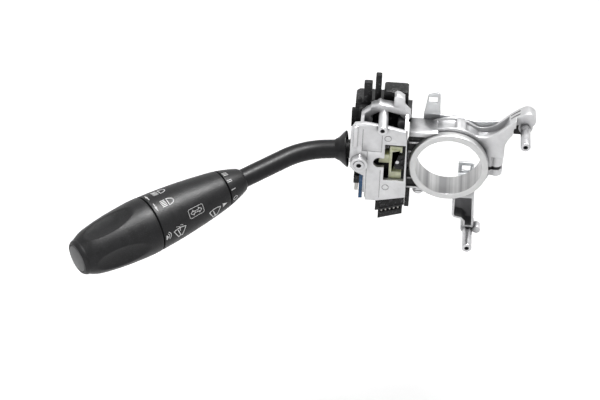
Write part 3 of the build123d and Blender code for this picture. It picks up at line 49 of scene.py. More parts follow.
MERGE_DISTANCE = 1e-6
SHARP_DEGREES = 32.0
WHITE = (1.0, 1.0, 1.0, 1.0)
BEVEL_SAMPLES = 6
SHADE_SAMPLES = 8

Colour = tuple[float, float, float]
Point2 = tuple[float, float]
Point3 = tuple[float, float, float]
Outline = tuple[Point2, ...]
Faces = list[tuple[int, ...]]
Node = bpy.types.Node
Piece = bpy.types.Object
Socket = bpy.types.NodeSocket
Tree = bpy.types.NodeTree


# --- node helpers
class Wiring:
    """Adds nodes to one tree and links them."""

    def __init__(self, tree: Tree) -> None:
        """Keeps the tree to build in."""
        self.tree = tree

    @classmethod
    def of(cls, owner: bpy.types.ID) -> "Wiring":
        """Empties the tree of a material or world.

        Args:
            owner: The material or world.

        Returns:
            The wiring of its empty tree.
        """
        owner.use_nodes = True
        owner.node_tree.nodes.clear()
        return cls(owner.node_tree)

    def add(self, kind: str, settings: dict | None = None, **inputs: object) -> Node:
        """Adds a node and sets it up.

        Args:
            kind: The node's type name.
            settings: Attributes of the node itself.
            **inputs: What feed() takes.

        Returns:
            The new node.
        """
        node = self.tree.nodes.new(kind)
        for name, value in (settings or {}).items():
            setattr(node, name, value)
        self.feed(node, **inputs)
        return node

    def feed(self, node: Node, **inputs: object) -> None:
        """Sets or links the inputs of a node.

        Args:
            node: The node.
            **inputs: Values by input name, with underscores for spaces, or in_3 for number 3; a socket is linked.
        """
        for name, value in inputs.items():
            if name.startswith("in_"):
                socket = node.inputs[int(name[3:])]
            else:
                label = name.replace("_", " ")
                named = (item for item in node.inputs if item.name == label and item.enabled)
                socket = next(named, None) or node.inputs[label]
            if isinstance(value, Socket):
                self.tree.links.new(value, socket)
            else:
                socket.default_value = value

    def group(self, tree: Tree, **inputs: object) -> Sequence[Socket]:
        """Adds a group node and returns its outputs."""
        return self.add("ShaderNodeGroup", {"node_tree": tree}, **inputs).outputs

    def place(self) -> Socket:
        """Returns the object's own coordinates."""
        return self.add("ShaderNodeTexCoord").outputs["Object"]

    def noise(self, settings: dict | None = None, **inputs: object) -> Socket:
        """Adds a noise and returns its value."""
        return self.add("ShaderNodeTexNoise", settings, **inputs).outputs["Fac"]

    def math(self, operation: str, first: object, second: object = 0.0) -> Socket:
        """Adds a math node on two values and returns its result."""
        return self.add("ShaderNodeMath", {"operation": operation}, in_0=first, in_1=second).outputs[0]

    def mix(self, factor: object, first: object, second: object) -> Socket:
        """Mixes two colours by the share of the second."""
        return self.add("ShaderNodeMix", {"data_type": "RGBA"}, in_0=factor, in_6=first, in_7=second).outputs[2]

    def remap(self, value: object, low: float, high: float, to_low: float = 0.0, to_high: float = 1.0) -> Socket:
        """Maps one range of values onto another, clamped."""
        return self.add("ShaderNodeMapRange", in_0=value, in_1=low, in_2=high, in_3=to_low,
                        in_4=to_high).outputs[0]


def rgba(colour: Colour) -> tuple[float, float, float, float]:
    """Adds an alpha of one to a colour."""
    return (*colour, 1.0)


class NodeGroup:
    """A node group with named inputs and outputs, while it is being built."""

    kind = "ShaderNodeTree"

    def __init__(self, name: str, sizes: dict[str, float], **outputs: str) -> None:
        """Starts the group.

        Args:
            name: The group's name.
            sizes: Names of number inputs and their defaults.
            **outputs: Kinds of the outputs by name.
        """
        self.sizes = sizes
        self.tree = bpy.data.node_groups.new(name, self.kind)
        face = self.tree.interface
        if self.kind == "GeometryNodeTree":
            face.new_socket("Geometry", in_out="INPUT", socket_type="NodeSocketGeometry")
        for label, default in sizes.items():
            face.new_socket(label, in_out="INPUT", socket_type="NodeSocketFloat").default_value = default
        for label, output in outputs.items():
            face.new_socket(label, in_out="OUTPUT", socket_type=f"NodeSocket{output}")
        self.w = Wiring(self.tree)
        self.start = self.w.add("NodeGroupInput").outputs

    def close(self, **sources: Socket) -> Tree:
        """Feeds the group's outputs and returns its tree."""
        self.w.add("NodeGroupOutput", **sources)
        return self.tree


@cache
def surface_grain() -> Tree:
    """Builds the group of moulded or cast grain: a normal, a broad mask and a speckle mask.

    Returns:
        The node group.
    """
    group = NodeGroup("surface_grain", {"Scale": 900.0, "Strength": 0.2, "Height": 0.0001, "Edge Radius": 0.0002},
                      Normal="Vector", Mask="Float", Speckle="Float")
    w, sizes = group.w, group.start
    place = w.place()
    fine = w.noise(Vector=place, Scale=sizes["Scale"], Detail=3.0, Roughness=0.6)
    broad = w.noise(Vector=place, Scale=w.math("MULTIPLY", sizes["Scale"], 0.17), Detail=2.0)
    edge = w.add("ShaderNodeBevel", {"samples": BEVEL_SAMPLES}, Radius=sizes["Edge Radius"])
    bump = w.add("ShaderNodeBump", Strength=sizes["Strength"], Distance=sizes["Height"], Height=fine,
                 Normal=edge.outputs[0])
    return group.close(Normal=bump.outputs[0], Mask=broad, Speckle=w.remap(fine, 0.54, 0.72))


@cache
def edge_highlight_and_wear() -> Tree:
    """Builds the group that masks convex edges, broken up by noise, for a painted edge highlight with some wear.

    Returns:
        The node group.
    """
    group = NodeGroup("edge_highlight_and_wear", {"Radius": 0.0004, "Noise Scale": 220.0, "Amount": 1.0}, Mask="Float")
    w, sizes = group.w, group.start
    rounded = w.add("ShaderNodeBevel", {"samples": BEVEL_SAMPLES}, Radius=sizes["Radius"]).outputs[0]
    flat = w.add("ShaderNodeNewGeometry").outputs["Normal"]
    same = w.add("ShaderNodeVectorMath", {"operation": "DOT_PRODUCT"}, in_0=rounded, in_1=flat)
    noise = w.noise(Vector=w.place(), Scale=sizes["Noise Scale"], Detail=3.0)
    broken = w.math("MULTIPLY", w.remap(same.outputs["Value"], 0.99, 0.86), w.remap(noise, 0.35, 0.6, 0.25, 1.0))
    return group.close(Mask=w.math("MULTIPLY", broken, sizes["Amount"]))


@cache
def pocket_shade() -> Tree:
    """Builds the group that masks pockets and inner corners by ambient occlusion, for the painted shade there.

    Returns:
        The node group.
    """
    group = NodeGroup("pocket_shade", {"Reach": 0.008, "Amount": 0.5, "Closed": 0.35, "Open": 0.95}, Mask="Float")
    w, sizes = group.w, group.start
    sky = w.add("ShaderNodeAmbientOcclusion", {"samples": SHADE_SAMPLES}, Distance=sizes["Reach"])
    closed = w.remap(sky.outputs["AO"], sizes["Closed"], sizes["Open"], 1.0, 0.0)
    return group.close(Mask=w.math("MULTIPLY", closed, sizes["Amount"]))


# --- finishes
@dataclass(frozen=True)
class Finish:
    """What every finish has: a name, a colour, a roughness, painted shade in its pockets and a painted edge
    highlight, with some wear, on its edges.
    """

    name: str
    colour: Colour
    roughness: float = 0.45
    grain_scale: float = 1400.0
    grain: float = 0.25
    edge_radius: float = 0.0002
    edge_highlight_wear: float = 0.0
    edge_highlight_wear_colour: Colour = (0.2, 0.2, 0.2)
    mottle: float = 0.0
    speckle: float = 0.0
    speckle_colour: Colour = (0.1, 0.1, 0.1)
    painted_shade: float = 0.0
    painted_shade_reach: float = 0.008
    painted_shade_closed: float = 0.35
    painted_shade_colour: Colour = (0.01, 0.01, 0.01)
    gloss: float = 0.5

    def material(self) -> bpy.types.Material:
        """Builds the material at first use.

        Returns:
            The material.
        """
        known = bpy.data.materials.get(self.name)
        if known:
            return known
        material = bpy.data.materials.new(self.name)
        w = Wiring.of(material)
        shader = w.add("ShaderNodeBsdfPrincipled")
        self.dress(w, shader)
        w.add("ShaderNodeOutputMaterial", Surface=shader.outputs[0])
        return material

    def dress(self, w: Wiring, shader: Node) -> None:
        """Wires colour, roughness and normal.

        Args:
            w: Wiring of the material's tree.
            shader: The Principled node.
        """
        grain = w.group(surface_grain(), Scale=self.grain_scale, Strength=self.grain, Edge_Radius=self.edge_radius)
        dark = tuple(c * (1.0 - self.mottle) for c in self.colour)
        light = tuple(min(1.0, c * (1.0 + self.mottle)) for c in self.colour)
        colour = w.mix(w.remap(grain["Mask"], 0.35, 0.65), rgba(dark), rgba(light))
        if self.speckle:
            colour = w.mix(w.math("MULTIPLY", grain["Speckle"], self.speckle), colour, rgba(self.speckle_colour))
        # Lighter convex edges: a painted edge highlight, with some wear.
        if self.edge_highlight_wear:
            colour = w.mix(w.group(edge_highlight_and_wear(), Amount=self.edge_highlight_wear)["Mask"], colour, rgba(self.edge_highlight_wear_colour))
        # Darker pockets and inner corners: painted shade, mixed into the colour.
        if self.painted_shade:
            shade = w.group(pocket_shade(), Amount=self.painted_shade, Reach=self.painted_shade_reach, Closed=self.painted_shade_closed)
            colour = w.mix(shade["Mask"], colour, rgba(self.painted_shade_colour))
        rough = w.remap(grain["Mask"], 0.3, 0.7, self.roughness * 0.88, self.roughness * 1.12)
        w.feed(shader, Base_Color=colour, Roughness=rough, Normal=grain["Normal"])
        self.settle(w, shader)

    def settle(self, w: Wiring, shader: Node) -> None:
        """Sets the sockets that are the same all over; plastics only need their gloss."""
        w.feed(shader, Specular_IOR_Level=self.gloss)


@dataclass(frozen=True)
class Metal(Finish):
    """A bare metal: cast, turned, stamped or plated."""

    metallic: float = 1.0

    def settle(self, w: Wiring, shader: Node) -> None:
        """Makes the surface metallic."""
        w.feed(shader, Metallic=self.metallic)


@dataclass(frozen=True)
class TurnedMetal(Metal):
    """Metal with fine turning marks round the column axis, and dark streaks of painted reflection along its bore.
    """

    line_scale: float = 2600.0
    line_depth: float = 0.0001
    bore_r: float = 0.02006
    bore_reflection_scale: float = 2.1
    bore_reflection_dark: Colour = (0.27, 0.27, 0.275)

    def dress(self, w: Wiring, shader: Node) -> None:
        """Adds the turning marks as a bump over the common finish, and the bore's painted reflection streaks to
        its colour.

        Args:
            w: Wiring of the material's tree.
            shader: The Principled node.
        """
        super().dress(w, shader)
        x, y, z = w.add("ShaderNodeSeparateXYZ", Vector=w.place()).outputs
        radius = w.math("SQRT", w.math("ADD", w.math("POWER", x, 2.0), w.math("POWER", z, 2.0)))
        lines = w.noise({"noise_dimensions": "1D"}, W=w.math("ADD", y, radius), Scale=self.line_scale, Detail=2.0)
        bump = w.add("ShaderNodeBump", Strength=0.03, Distance=self.line_depth, Height=lines,
                     Normal=shader.inputs["Normal"].links[0].from_socket)
        marks = w.remap(lines, 0.3, 0.7, self.roughness * 0.92, self.roughness * 1.1)
        # Dark vertical streaks inside the bore: a painted reflection.
        bore_reflection = w.noise({"noise_dimensions": "1D"}, W=w.math("ARCTAN2", z, x), Scale=self.bore_reflection_scale,
                          Detail=5.0, Roughness=0.55)
        share = w.math("MULTIPLY", w.math("LESS_THAN", radius, self.bore_r),
                       w.remap(bore_reflection, 0.41, 0.59, 0.1, 0.92))
        plain = shader.inputs["Base Color"].links[0].from_socket
        w.feed(shader, Normal=bump.outputs[0], Roughness=marks,
               Base_Color=w.mix(share, plain, rgba(self.bore_reflection_dark)))


@dataclass(frozen=True)
class NaturalPlastic(Finish):
    """Uncoloured plastic that lets a little light in."""

    def settle(self, w: Wiring, shader: Node) -> None:
        """Adds light that scatters under the surface."""
        w.feed(shader, Subsurface_Weight=0.35, Subsurface_Radius=(0.003, 0.003, 0.0018), Subsurface_Scale=1.0)


class Look(Enum):
    """The finishes of the switch."""

    # The pocket settings paint shade into pockets and inner corners; the edge settings paint a lighter highlight,
    # with some wear, onto convex edges.
    CAST = Metal("cast_alloy", (0.68, 0.68, 0.69), roughness=0.32, grain_scale=1300.0, grain=0.35, mottle=0.05,
                 edge_highlight_wear=0.5, edge_highlight_wear_colour=(0.92, 0.92, 0.92), metallic=0.6, painted_shade=0.9,
                 painted_shade_colour=(0.07, 0.07, 0.075))
    # A darker copy of the cast finish with stronger painted shade, so that the lower arm's channel reads dark.
    ARM = Metal("cast_channel", (0.66, 0.66, 0.67), roughness=0.45, grain_scale=700.0, grain=0.6, mottle=0.1,
                edge_highlight_wear=0.5, edge_highlight_wear_colour=(0.9, 0.9, 0.9), metallic=0.6, painted_shade=1.0, painted_shade_reach=0.012,
                painted_shade_closed=0.6, painted_shade_colour=(0.17, 0.17, 0.175), speckle=0.6,
                speckle_colour=(0.36, 0.36, 0.37))
    TURNED = TurnedMetal("turned_ring", (0.64, 0.64, 0.64), roughness=0.32, grain=0.1, mottle=0.03,
                         metallic=0.7)
    SHEET = Metal("stamped_sheet", (0.56, 0.57, 0.58), roughness=0.34, grain=0.15, mottle=0.05, metallic=0.75,
                  painted_shade=0.35, painted_shade_colour=(0.08, 0.08, 0.085))
    PLATED = Metal("plated_steel", (0.55, 0.55, 0.56), roughness=0.28, grain=0.12, mottle=0.06, metallic=0.95,
                   painted_shade=0.6, painted_shade_reach=0.004, painted_shade_colour=(0.05, 0.05, 0.05))
    HOUSING = Finish("housing_plastic", (0.010, 0.010, 0.0105), roughness=0.4, grain=0.9, grain_scale=620.0,
                     mottle=0.4, edge_highlight_wear=0.7, edge_highlight_wear_colour=(0.075, 0.075, 0.08), gloss=0.26, painted_shade=0.8,
                     speckle=0.9, speckle_colour=(0.1, 0.1, 0.105), painted_shade_colour=(0.002, 0.002, 0.002))
    STALK = Finish("stalk_coating", (0.015, 0.015, 0.0162), roughness=0.4, grain=0.12, grain_scale=2200.0,
                   mottle=0.1, gloss=0.18)
    GRIP = Finish("grip_plastic", (0.015, 0.015, 0.0162), roughness=0.42, grain=1.0, grain_scale=1300.0,
                  mottle=0.15, gloss=0.22, speckle=0.6, speckle_colour=(0.036, 0.036, 0.038))
    BUTTON = Finish("button_plastic", (0.16, 0.16, 0.162), roughness=0.5, grain=0.3, grain_scale=1500.0,
                    mottle=0.1, gloss=0.3)
    CREAM = NaturalPlastic("natural_plastic", (0.78, 0.8, 0.56), roughness=0.3, grain=0.1, mottle=0.14,
                           painted_shade=0.4, painted_shade_reach=0.003, painted_shade_colour=(0.3, 0.34, 0.14))
    RUBBER = Finish("bumper_rubber", (0.012, 0.012, 0.012), roughness=0.7, grain=0.4, mottle=0.2, gloss=0.3)
    BOARD = Finish("board_lacquer", (0.012, 0.075, 0.19), roughness=0.25, grain=0.05, mottle=0.15)
    CONTACT = Metal("tinned_contact", (0.42, 0.41, 0.39), roughness=0.3, grain=0.1, mottle=0.15)
    INK = Finish("white_ink", (0.97, 0.97, 0.97), roughness=0.6, grain=0.1, edge_radius=0.0, mottle=0.02)


NODE_LOOKS: dict[Look, tuple[str, ...]] = {
    Look.CAST: ("column_bracket", "switch_frame", "frame_arch"),
    Look.ARM: ("lower_arm",),
    Look.TURNED: ("column_ring",),
    Look.SHEET: ("cover_plate",),
    Look.PLATED: ("right_post", "lower_post", "turn_pivot_pins", "tilt_pin", "pawl_pin", "clamp_screw",
                  "locating_screw", "frame_screws", "cover_rivets", "wash_spring", "cancel_spring"),
    Look.HOUSING: ("rear_housing", "rear_cover", "harness_socket", "lower_connector", "side_block", "link_insert",
                   "mechanism_roof", "slider_guide", "turn_carrier", "lever_root", "terminal_block", "cancel_pawl",
                   "sleeve_bulkhead", "wiper_rotor"),
    Look.STALK: ("stalk_tube", "lever_boot"),
    Look.GRIP: ("handle_sleeve", "number_ring", "wiper_knob"),
    Look.BUTTON: ("wash_button",),
    Look.CREAM: ("cancel_slider",),
    Look.RUBBER: ("arm_bumper",),
    Look.BOARD: ("circuit_board",),
    Look.CONTACT: ("harness_socket_pins", "lower_contacts", "side_terminals"),
}


def dress_nodes() -> None:
    """Gives every CAD node its finish."""
    for look, names in NODE_LOOKS.items():
        for name in names:
            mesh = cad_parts[name].data
            mesh.materials.clear()
            mesh.materials.append(look.value.material())
            LOG.info("node %s: %s", name, look.value.name)


# --- mesh helpers
@dataclass(frozen=True)
class Axes:
    """A local frame in millimetres: an origin, the axis z and a side x."""

    origin: Point3
    axis: Point3
    side: Point3

    def matrix(self) -> Matrix:
        """Works out the change of frame.

        Returns:
            The matrix from local millimetres to metres in the common frame.
        """
        z = Vector(self.axis).normalized()
        x = (Vector(self.side) - z * Vector(self.side).dot(z)).normalized()
        turn = Matrix((x, z.cross(x), z)).transposed().to_4x4()
        return Matrix.Scale(MM, 4) @ Matrix.Translation(Vector(self.origin)) @ turn


def add_object(name: str, data: bpy.types.ID) -> Piece:
    """Puts a mesh, lamp or camera into the scene.

    Args:
        name: The object's name.
        data: What it holds.

    Returns:
        The new object.
    """
    item = bpy.data.objects.new(name, data)
    bpy.context.scene.collection.objects.link(item)
    return item


def new_piece(name: str, points: Sequence[Sequence[float]], faces: Faces, look: Look,
              sharp_degrees: float = SHARP_DEGREES) -> Piece:
    """Makes a piece from points and faces, with its normals outwards.

    Args:
        name: The piece's name.
        points: Vertices in metres.
        faces: Vertex indices of each face.
        look: The finish.
        sharp_degrees: Edges steeper than this stay sharp in shading.

    Returns:
        The new object, linked to the scene.
    """
    mesh = bpy.data.meshes.new(name)
    mesh.from_pydata([tuple(p) for p in points], [], faces)
    piece = add_object(name, mesh)
    finish_mesh(mesh, look, sharp_degrees)
    return piece


def finish_mesh(mesh: bpy.types.Mesh, look: Look, sharp_degrees: float = SHARP_DEGREES) -> None:
    """Merges doubles, turns the faces outwards, shades and dresses a mesh.

    Args:
        mesh: The mesh.
        look: The finish.
        sharp_degrees: Edges steeper than this stay sharp in shading.
    """
    shape = bmesh.new()
    shape.from_mesh(mesh)
    bmesh.ops.remove_doubles(shape, verts=shape.verts, dist=MERGE_DISTANCE)
    bmesh.ops.recalc_face_normals(shape, faces=shape.faces)
    shape.to_mesh(mesh)
    shape.free()
    mesh.shade_smooth()
    mesh.set_sharp_from_angle(angle=math.radians(sharp_degrees))
    mesh.materials.clear()
    mesh.materials.append(look.value.material())


def keep_result(piece: Piece, look: Look, sharp_degrees: float = SHARP_DEGREES) -> None:
    """Replaces a piece's mesh by what its modifiers make of it, and finishes it.

    Args:
        piece: The piece.
        look: The finish.
        sharp_degrees: Edges steeper than this stay sharp in shading.
    """
    draft = piece.data
    result = bpy.data.meshes.new_from_object(piece.evaluated_get(bpy.context.evaluated_depsgraph_get()))
    piece.modifiers.clear()
    piece.data = result
    bpy.data.meshes.remove(draft)
    finish_mesh(result, look, sharp_degrees)


def settle(piece: Piece, body: str, slot: str, *nodes: str) -> None:
    """Puts a piece on its body and hides the CAD nodes that it stands for.

    Args:
        piece: The piece.
        body: The body that carries it.
        slot: Not used.
        *nodes: CAD nodes that it stands for.
    """
    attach(piece, body)
    if nodes:
        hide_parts(*nodes)
    LOG.info("piece %s on %s: %d faces", piece.name, body, len(piece.data.polygons))


def circle_point(radius: float, angle: float) -> Point2:
    """Point of a circle at an angle in radians."""
    return radius * math.cos(angle), radius * math.sin(angle)


def arc_points(first: Point2, middle: Point2, last: Point2, steps: int) -> list[Point2]:
    """Samples the arc through three points.

    Args:
        first: Start of the arc.
        middle: A point on it.
        last: End of the arc.
        steps: Number of steps.

    Returns:
        The points, with both ends.
    """
    (x1, y1), (x2, y2), (x3, y3) = first, middle, last
    d = 2 * (x1 * (y2 - y3) + x2 * (y3 - y1) + x3 * (y1 - y2))
    s1, s2, s3 = x1 * x1 + y1 * y1, x2 * x2 + y2 * y2, x3 * x3 + y3 * y3
    cx = (s1 * (y2 - y3) + s2 * (y3 - y1) + s3 * (y1 - y2)) / d
    cy = (s1 * (x3 - x2) + s2 * (x1 - x3) + s3 * (x2 - x1)) / d
    r = math.hypot(x1 - cx, y1 - cy)
    a1, a3 = math.atan2(y1 - cy, x1 - cx), math.atan2(y3 - cy, x3 - cx)
    a3 += round((a1 - a3) / math.tau) * math.tau
    angles = [a1 + (a3 - a1) * i / steps for i in range(steps + 1)]
    return [(cx + r * math.cos(a), cy + r * math.sin(a)) for a in angles]


def curve_points(knots: Sequence[Point2], steps: int) -> list[Point2]:
    """Samples a smooth curve through knots (Catmull-Rom by the second coordinate).

    Args:
        knots: Points as (value, place) with rising or falling place.
        steps: Steps between two knots.

    Returns:
        The points, with both ends.
    """
    last = len(knots) - 1
    slopes = []
    for i in range(len(knots)):
        (v0, p0), (v1, p1) = knots[max(0, i - 1)], knots[min(last, i + 1)]
        slopes.append((v1 - v0) / (p1 - p0))
    points = []
    for i in range(last):
        (v0, p0), (v1, p1) = knots[i], knots[i + 1]
        span, rise = p1 - p0, v1 - v0
        leave, arrive = span * slopes[i], span * slopes[i + 1]
        for t in (k / steps for k in range(steps)):
            bend = 3 * rise - 2 * leave - arrive + t * (leave + arrive - 2 * rise)
            points.append((v0 + t * (leave + t * bend), p0 + t * span))
    return points + [knots[-1]]


def soft_corners(corners: Sequence[Point3], steps: int = 5) -> list[Point2]:
    """Rounds the corners of a closed outline.

    Args:
        corners: Corners as (x, y, rounding length).
        steps: Steps in each rounding.

    Returns:
        The rounded outline.
    """
    points: list[Point2] = []
    for i, (x, y, r) in enumerate(corners):
        if r <= 0:
            points.append((x, y))
            continue
        here = Vector((x, y))
        ends = []
        for other in (corners[i - 1], corners[(i + 1) % len(corners)]):
            way = Vector(other[:2]) - here
            ends.append(here + way.normalized() * min(r, way.length * 0.5))
        for t in (k / steps for k in range(steps + 1)):
            spot = ends[0] * (1 - t) ** 2 + here * 2 * t * (1 - t) + ends[1] * t ** 2
            points.append((spot.x, spot.y))
    return points


def lathe(axes: Axes, profile: Sequence[Point2], segments: int,
          shape: Callable[[float, float, float], float] | None = None) -> tuple[list[Vector], Faces]:
    """Turns a closed (radius, place) profile about an axis.

    Args:
        axes: Where the axis lies.
        profile: The closed outline; points on the axis become poles.
        segments: Steps round the axis.
        shape: Optional change of the radius by (radius, angle, place).

    Returns:
        Points in metres and faces.
    """
    matrix = axes.matrix()
    points: list[Vector] = []
    rings: list[Sequence[int]] = []
    for r, z in profile:
        if r < MERGE_DISTANCE:
            rings.append([len(points)] * segments)
            points.append(matrix @ Vector((0.0, 0.0, z)))
            continue
        rings.append(range(len(points), len(points) + segments))
        for k in range(segments):
            angle = math.tau * k / segments
            points.append(matrix @ Vector((*circle_point(shape(r, angle, z) if shape else r, angle), z)))
    faces: Faces = []
    for ring, other in zip(rings, (*rings[1:], rings[0])):
        for k in range(segments):
            n = (k + 1) % segments
            corners = tuple(dict.fromkeys((ring[k], ring[n], other[n], other[k])))
            if len(corners) > 2:
                faces.append(corners)
    return points, faces


# --- handle
@dataclass
class HandleSkin:
    """Outer shape of the handle along its own axis, from the stalk's bend; it carries the printed marks.

    A lip is a radius, a reach and its play: it closes the seam to the next piece, which has a rebate for it.
    """

    axes: Axes = Axes((-88.6, 6.0, 2.2134), (-0.775, -0.62, -0.094), (0.62, -0.775, 0.0))
    ring_start: float = 45.0
    ring_end: float = 59.2
    ring_floor: float = 4.0
    ring_radii: Point3 = (6.9, 9.5, 11.5)
    sleeve_start: float = 59.9
    sleeve_end: float = 110.2
    sleeve_radii: Point3 = (11.7, 15.3, 17.25)
    wall: float = 2.0
    edge: float = 0.5
    tube_hole_r: float = 5.95
    ring_bore_r: float = 7.1
    sleeve_bore_r: float = 7.35
    ring_lip: Point3 = (8.9, 1.0, 0.3)
    knob_lip: Point3 = (15.9, 1.3, 0.3)

    def ring_arc(self, steps: int = 24) -> list[Point2]:
        """Samples the number ring's side."""
        return self.side_arc(self.ring_radii, self.ring_start, self.ring_end, steps)

    def sleeve_arc(self, steps: int = 48) -> list[Point2]:
        """Samples the sleeve's side."""
        return self.side_arc(self.sleeve_radii, self.sleeve_start, self.sleeve_end, steps)

    @staticmethod
    def side_arc(radii: Point3, start: float, end: float, steps: int) -> list[Point2]:
        """Samples an arched side with its radii at the start, the middle and the end."""
        return arc_points((radii[0], start), (radii[1], (start + end) / 2), (radii[2], end), steps)

    def radius(self, place: float) -> float:
        """Radius of the skin at a place along the axis.

        Args:
            place: Distance from the bend, in millimetres.

        Returns:
            The radius in millimetres.
        """
        side = self.ring_arc(96) if place < self.sleeve_start else self.sleeve_arc(96)
        for (r0, z0), (r1, z1) in zip(side, side[1:]):
            if z0 <= place <= z1:
                return r0 + (r1 - r0) * (place - z0) / (z1 - z0)
        return side[-1][0]

    def build(self) -> None:
        """Builds the ring and the sleeve."""
        e, start, end = self.edge, self.sleeve_start, self.sleeve_end
        lip_r, lip_reach, play = self.ring_lip
        ring, floor = self.ring_arc(), self.ring_start + self.ring_floor
        rebate = start - lip_reach - play
        outline = [*ring[2:-2],
                   *soft_corners([(*ring[-2], 0), (*ring[-1], e), (lip_r + play, self.ring_end, 0)])[1:],
                   (lip_r + play, rebate), (self.ring_bore_r, rebate), (self.ring_bore_r, floor),
                   (self.tube_hole_r, floor), (self.tube_hole_r, self.ring_start),
                   (ring[0][0] - e, self.ring_start), (ring[0][0], self.ring_start + e)]
        piece = new_piece("dial_ring", *lathe(self.axes, outline, 160), Look.GRIP)
        settle(piece, "rotor_body", "handle_black", "number_ring")
        sleeve = self.sleeve_arc()
        hollow = [(r - self.wall, z) for r, z in reversed(sleeve[2:-1])]
        far_r, far_reach, _ = self.knob_lip
        outline = [*sleeve[1:-1],
                   *soft_corners([(*sleeve[-2], 0), (*sleeve[-1], e), (far_r, end, 0)])[1:],
                   (far_r, end + far_reach), (sleeve[-1][0] - self.wall, end + far_reach), *hollow,
                   (self.sleeve_bore_r, hollow[-1][1]), (self.sleeve_bore_r, start - lip_reach),
                   (lip_r, start - lip_reach), (lip_r, start), (sleeve[0][0] - e, start),
                   (sleeve[0][0] - e * 0.3, start + e * 0.3)]
        piece = new_piece("grip_sleeve", *lathe(self.axes, outline, 200), Look.GRIP)
        settle(piece, "lever_body", "handle_black", "handle_sleeve")


@dataclass
class Knob:
    """Twist knob with four finger scoops and the push button in its end."""

    skin: HandleSkin
    start: float = 111.1
    end: float = 159.9
    side: Outline = ((17.35, 0.0), (17.45, 6.0), (16.9, 16.0), (16.1, 25.0), (14.75, 34.5),
                                (13.3, 41.0), (11.0, 46.0))
    edge: float = 0.5
    nose_bulge: float = 0.3
    tip_r: float = 9.4
    tip_edges: Point2 = (0.35, 0.25)
    button_r: float = 8.3
    button_play: float = 0.3
    button_rise: float = 1.1
    button_crown: float = 1.0
    button_edge: float = 0.4
    button_depth: float = 11.3
    button_travel: float = 3.6
    stem_r: float = 4.2
    stem_end: float = 131.0
    mouth_r: float = 7.35
    rebate_floor: float = 1.0
    scoops: int = 4
    scoop_r: float = 24.0
    scoop_long_r: float = 90.0
    scoop_half: float = 24.0
    scoop_reach: float = 37.1
    scoop_middle: float = 30.0
    scoop_tilt: float = 7.0
    scoop_blend: float = 0.4
    plain_tip: float = 0.4
    plain_start: float = 1.0
    search: Point2 = (5.0, 6.0)
    search_steps: int = 14

    def build(self) -> None:
        """Builds the knob and its button."""
        self.build_knob()
        self.build_button()

    def build_knob(self) -> None:
        """Builds the knob, with the rebate for the sleeve's lip."""
        outer = [(r, self.start + z) for r, z in curve_points(self.side, 22)]
        bulge, e, floor = self.nose_bulge, self.edge, self.end - self.button_depth
        nose_mid = ((self.side[-1][0] + self.tip_r) / 2 + bulge, (outer[-1][1] + self.end) / 2 + bulge)
        nose = arc_points(outer[-1], nose_mid, (self.tip_r, self.end), 12)[1:-1]
        bore = self.button_r + self.button_play
        lip_r, lip_reach, play = self.skin.knob_lip
        rebate = self.skin.sleeve_end + lip_reach + play
        low, high, rim = lip_r - play - self.rebate_floor, lip_r + play, outer[0][0]
        front = [(self.mouth_r, self.start), (low, self.start), (low, rebate), (high, rebate), (high, self.start),
                 (rim - e, self.start), (rim - e * 0.3, self.start + e * 0.3), (rim, self.start + e)]
        tip = soft_corners([(*nose[-1], 0), (self.tip_r, self.end, self.tip_edges[0]),
                            (bore, self.end, self.tip_edges[1]), (bore, floor, 0)])[1:]
        outline = [*front, *outer[2:], *nose, *tip, (self.mouth_r, floor)]
        piece = new_piece("twist_knob", *lathe(self.skin.axes, outline, 288, self.scooped), Look.GRIP)
        settle(piece, "rotor_body", "handle_black", "wiper_knob")

    def build_button(self) -> None:
        """Builds the crowned button and its stem."""
        face, r = self.end + self.button_rise, self.button_r
        crown = arc_points((0.0, face), (r * 0.6, face - self.button_crown / 4), (r, face - self.button_crown), 14)
        foot = self.end - self.button_depth + self.button_travel
        outline = [*crown[:-1],
                   *soft_corners([(*crown[-2], 0), (*crown[-1], self.button_edge), (r, foot, 0)])[1:],
                   (self.stem_r, foot), (self.stem_r, self.stem_end), (0.0, self.stem_end)]
        piece = new_piece("push_button", *lathe(self.skin.axes, outline, 96), Look.BUTTON)
        settle(piece, "button_body", "button_black", "wash_button")

    def scooped(self, radius: float, angle: float, place: float) -> float:
        """Radius of the knob's side with its scoops.

        Args:
            radius: Radius without scoops.
            angle: Angle round the axis.
            place: Distance along the axis.

        Returns:
            The radius, eased into the scoop's edge.
        """
        if radius < self.tip_r + self.plain_tip or place < self.start + self.plain_start:
            return radius
        step = math.tau / self.scoops
        local = (angle + step / 2) % step - step / 2
        cut = self.cutter_radius(radius, local, place - self.start - self.scoop_middle)
        gap = max(self.scoop_blend - abs(radius - cut), 0.0) / self.scoop_blend
        return min(radius, cut) - gap * gap * self.scoop_blend / 4

    def cutter_radius(self, radius: float, angle: float, place: float) -> float:
        """Distance from the axis at which a ray meets the barrel that forms a scoop.

        Args:
            radius: Radius of the plain side, where the search starts.
            angle: Angle from the scoop's middle.
            place: Distance from the scoop's middle, along the axis.

        Returns:
            The distance, or infinity where the ray misses it.
        """
        tilt = math.radians(self.scoop_tilt)
        ax, az = -math.sin(tilt), math.cos(tilt)
        low, high = radius - self.search[0], radius + self.search[1]
        for _ in range(self.search_steps):
            middle = (low + high) / 2
            x, y = middle * math.cos(angle) - self.scoop_reach, middle * math.sin(angle)
            along = x * ax + place * az
            inside = abs(along) < self.scoop_half
            if inside:
                reach = self.scoop_r - self.scoop_long_r + math.sqrt(self.scoop_long_r ** 2 - along ** 2)
                inside = x * x + y * y + place * place - along * along < reach * reach
            low, high = (low, middle) if inside else (middle, high)
        return high if high < radius + self.search[1] else math.inf


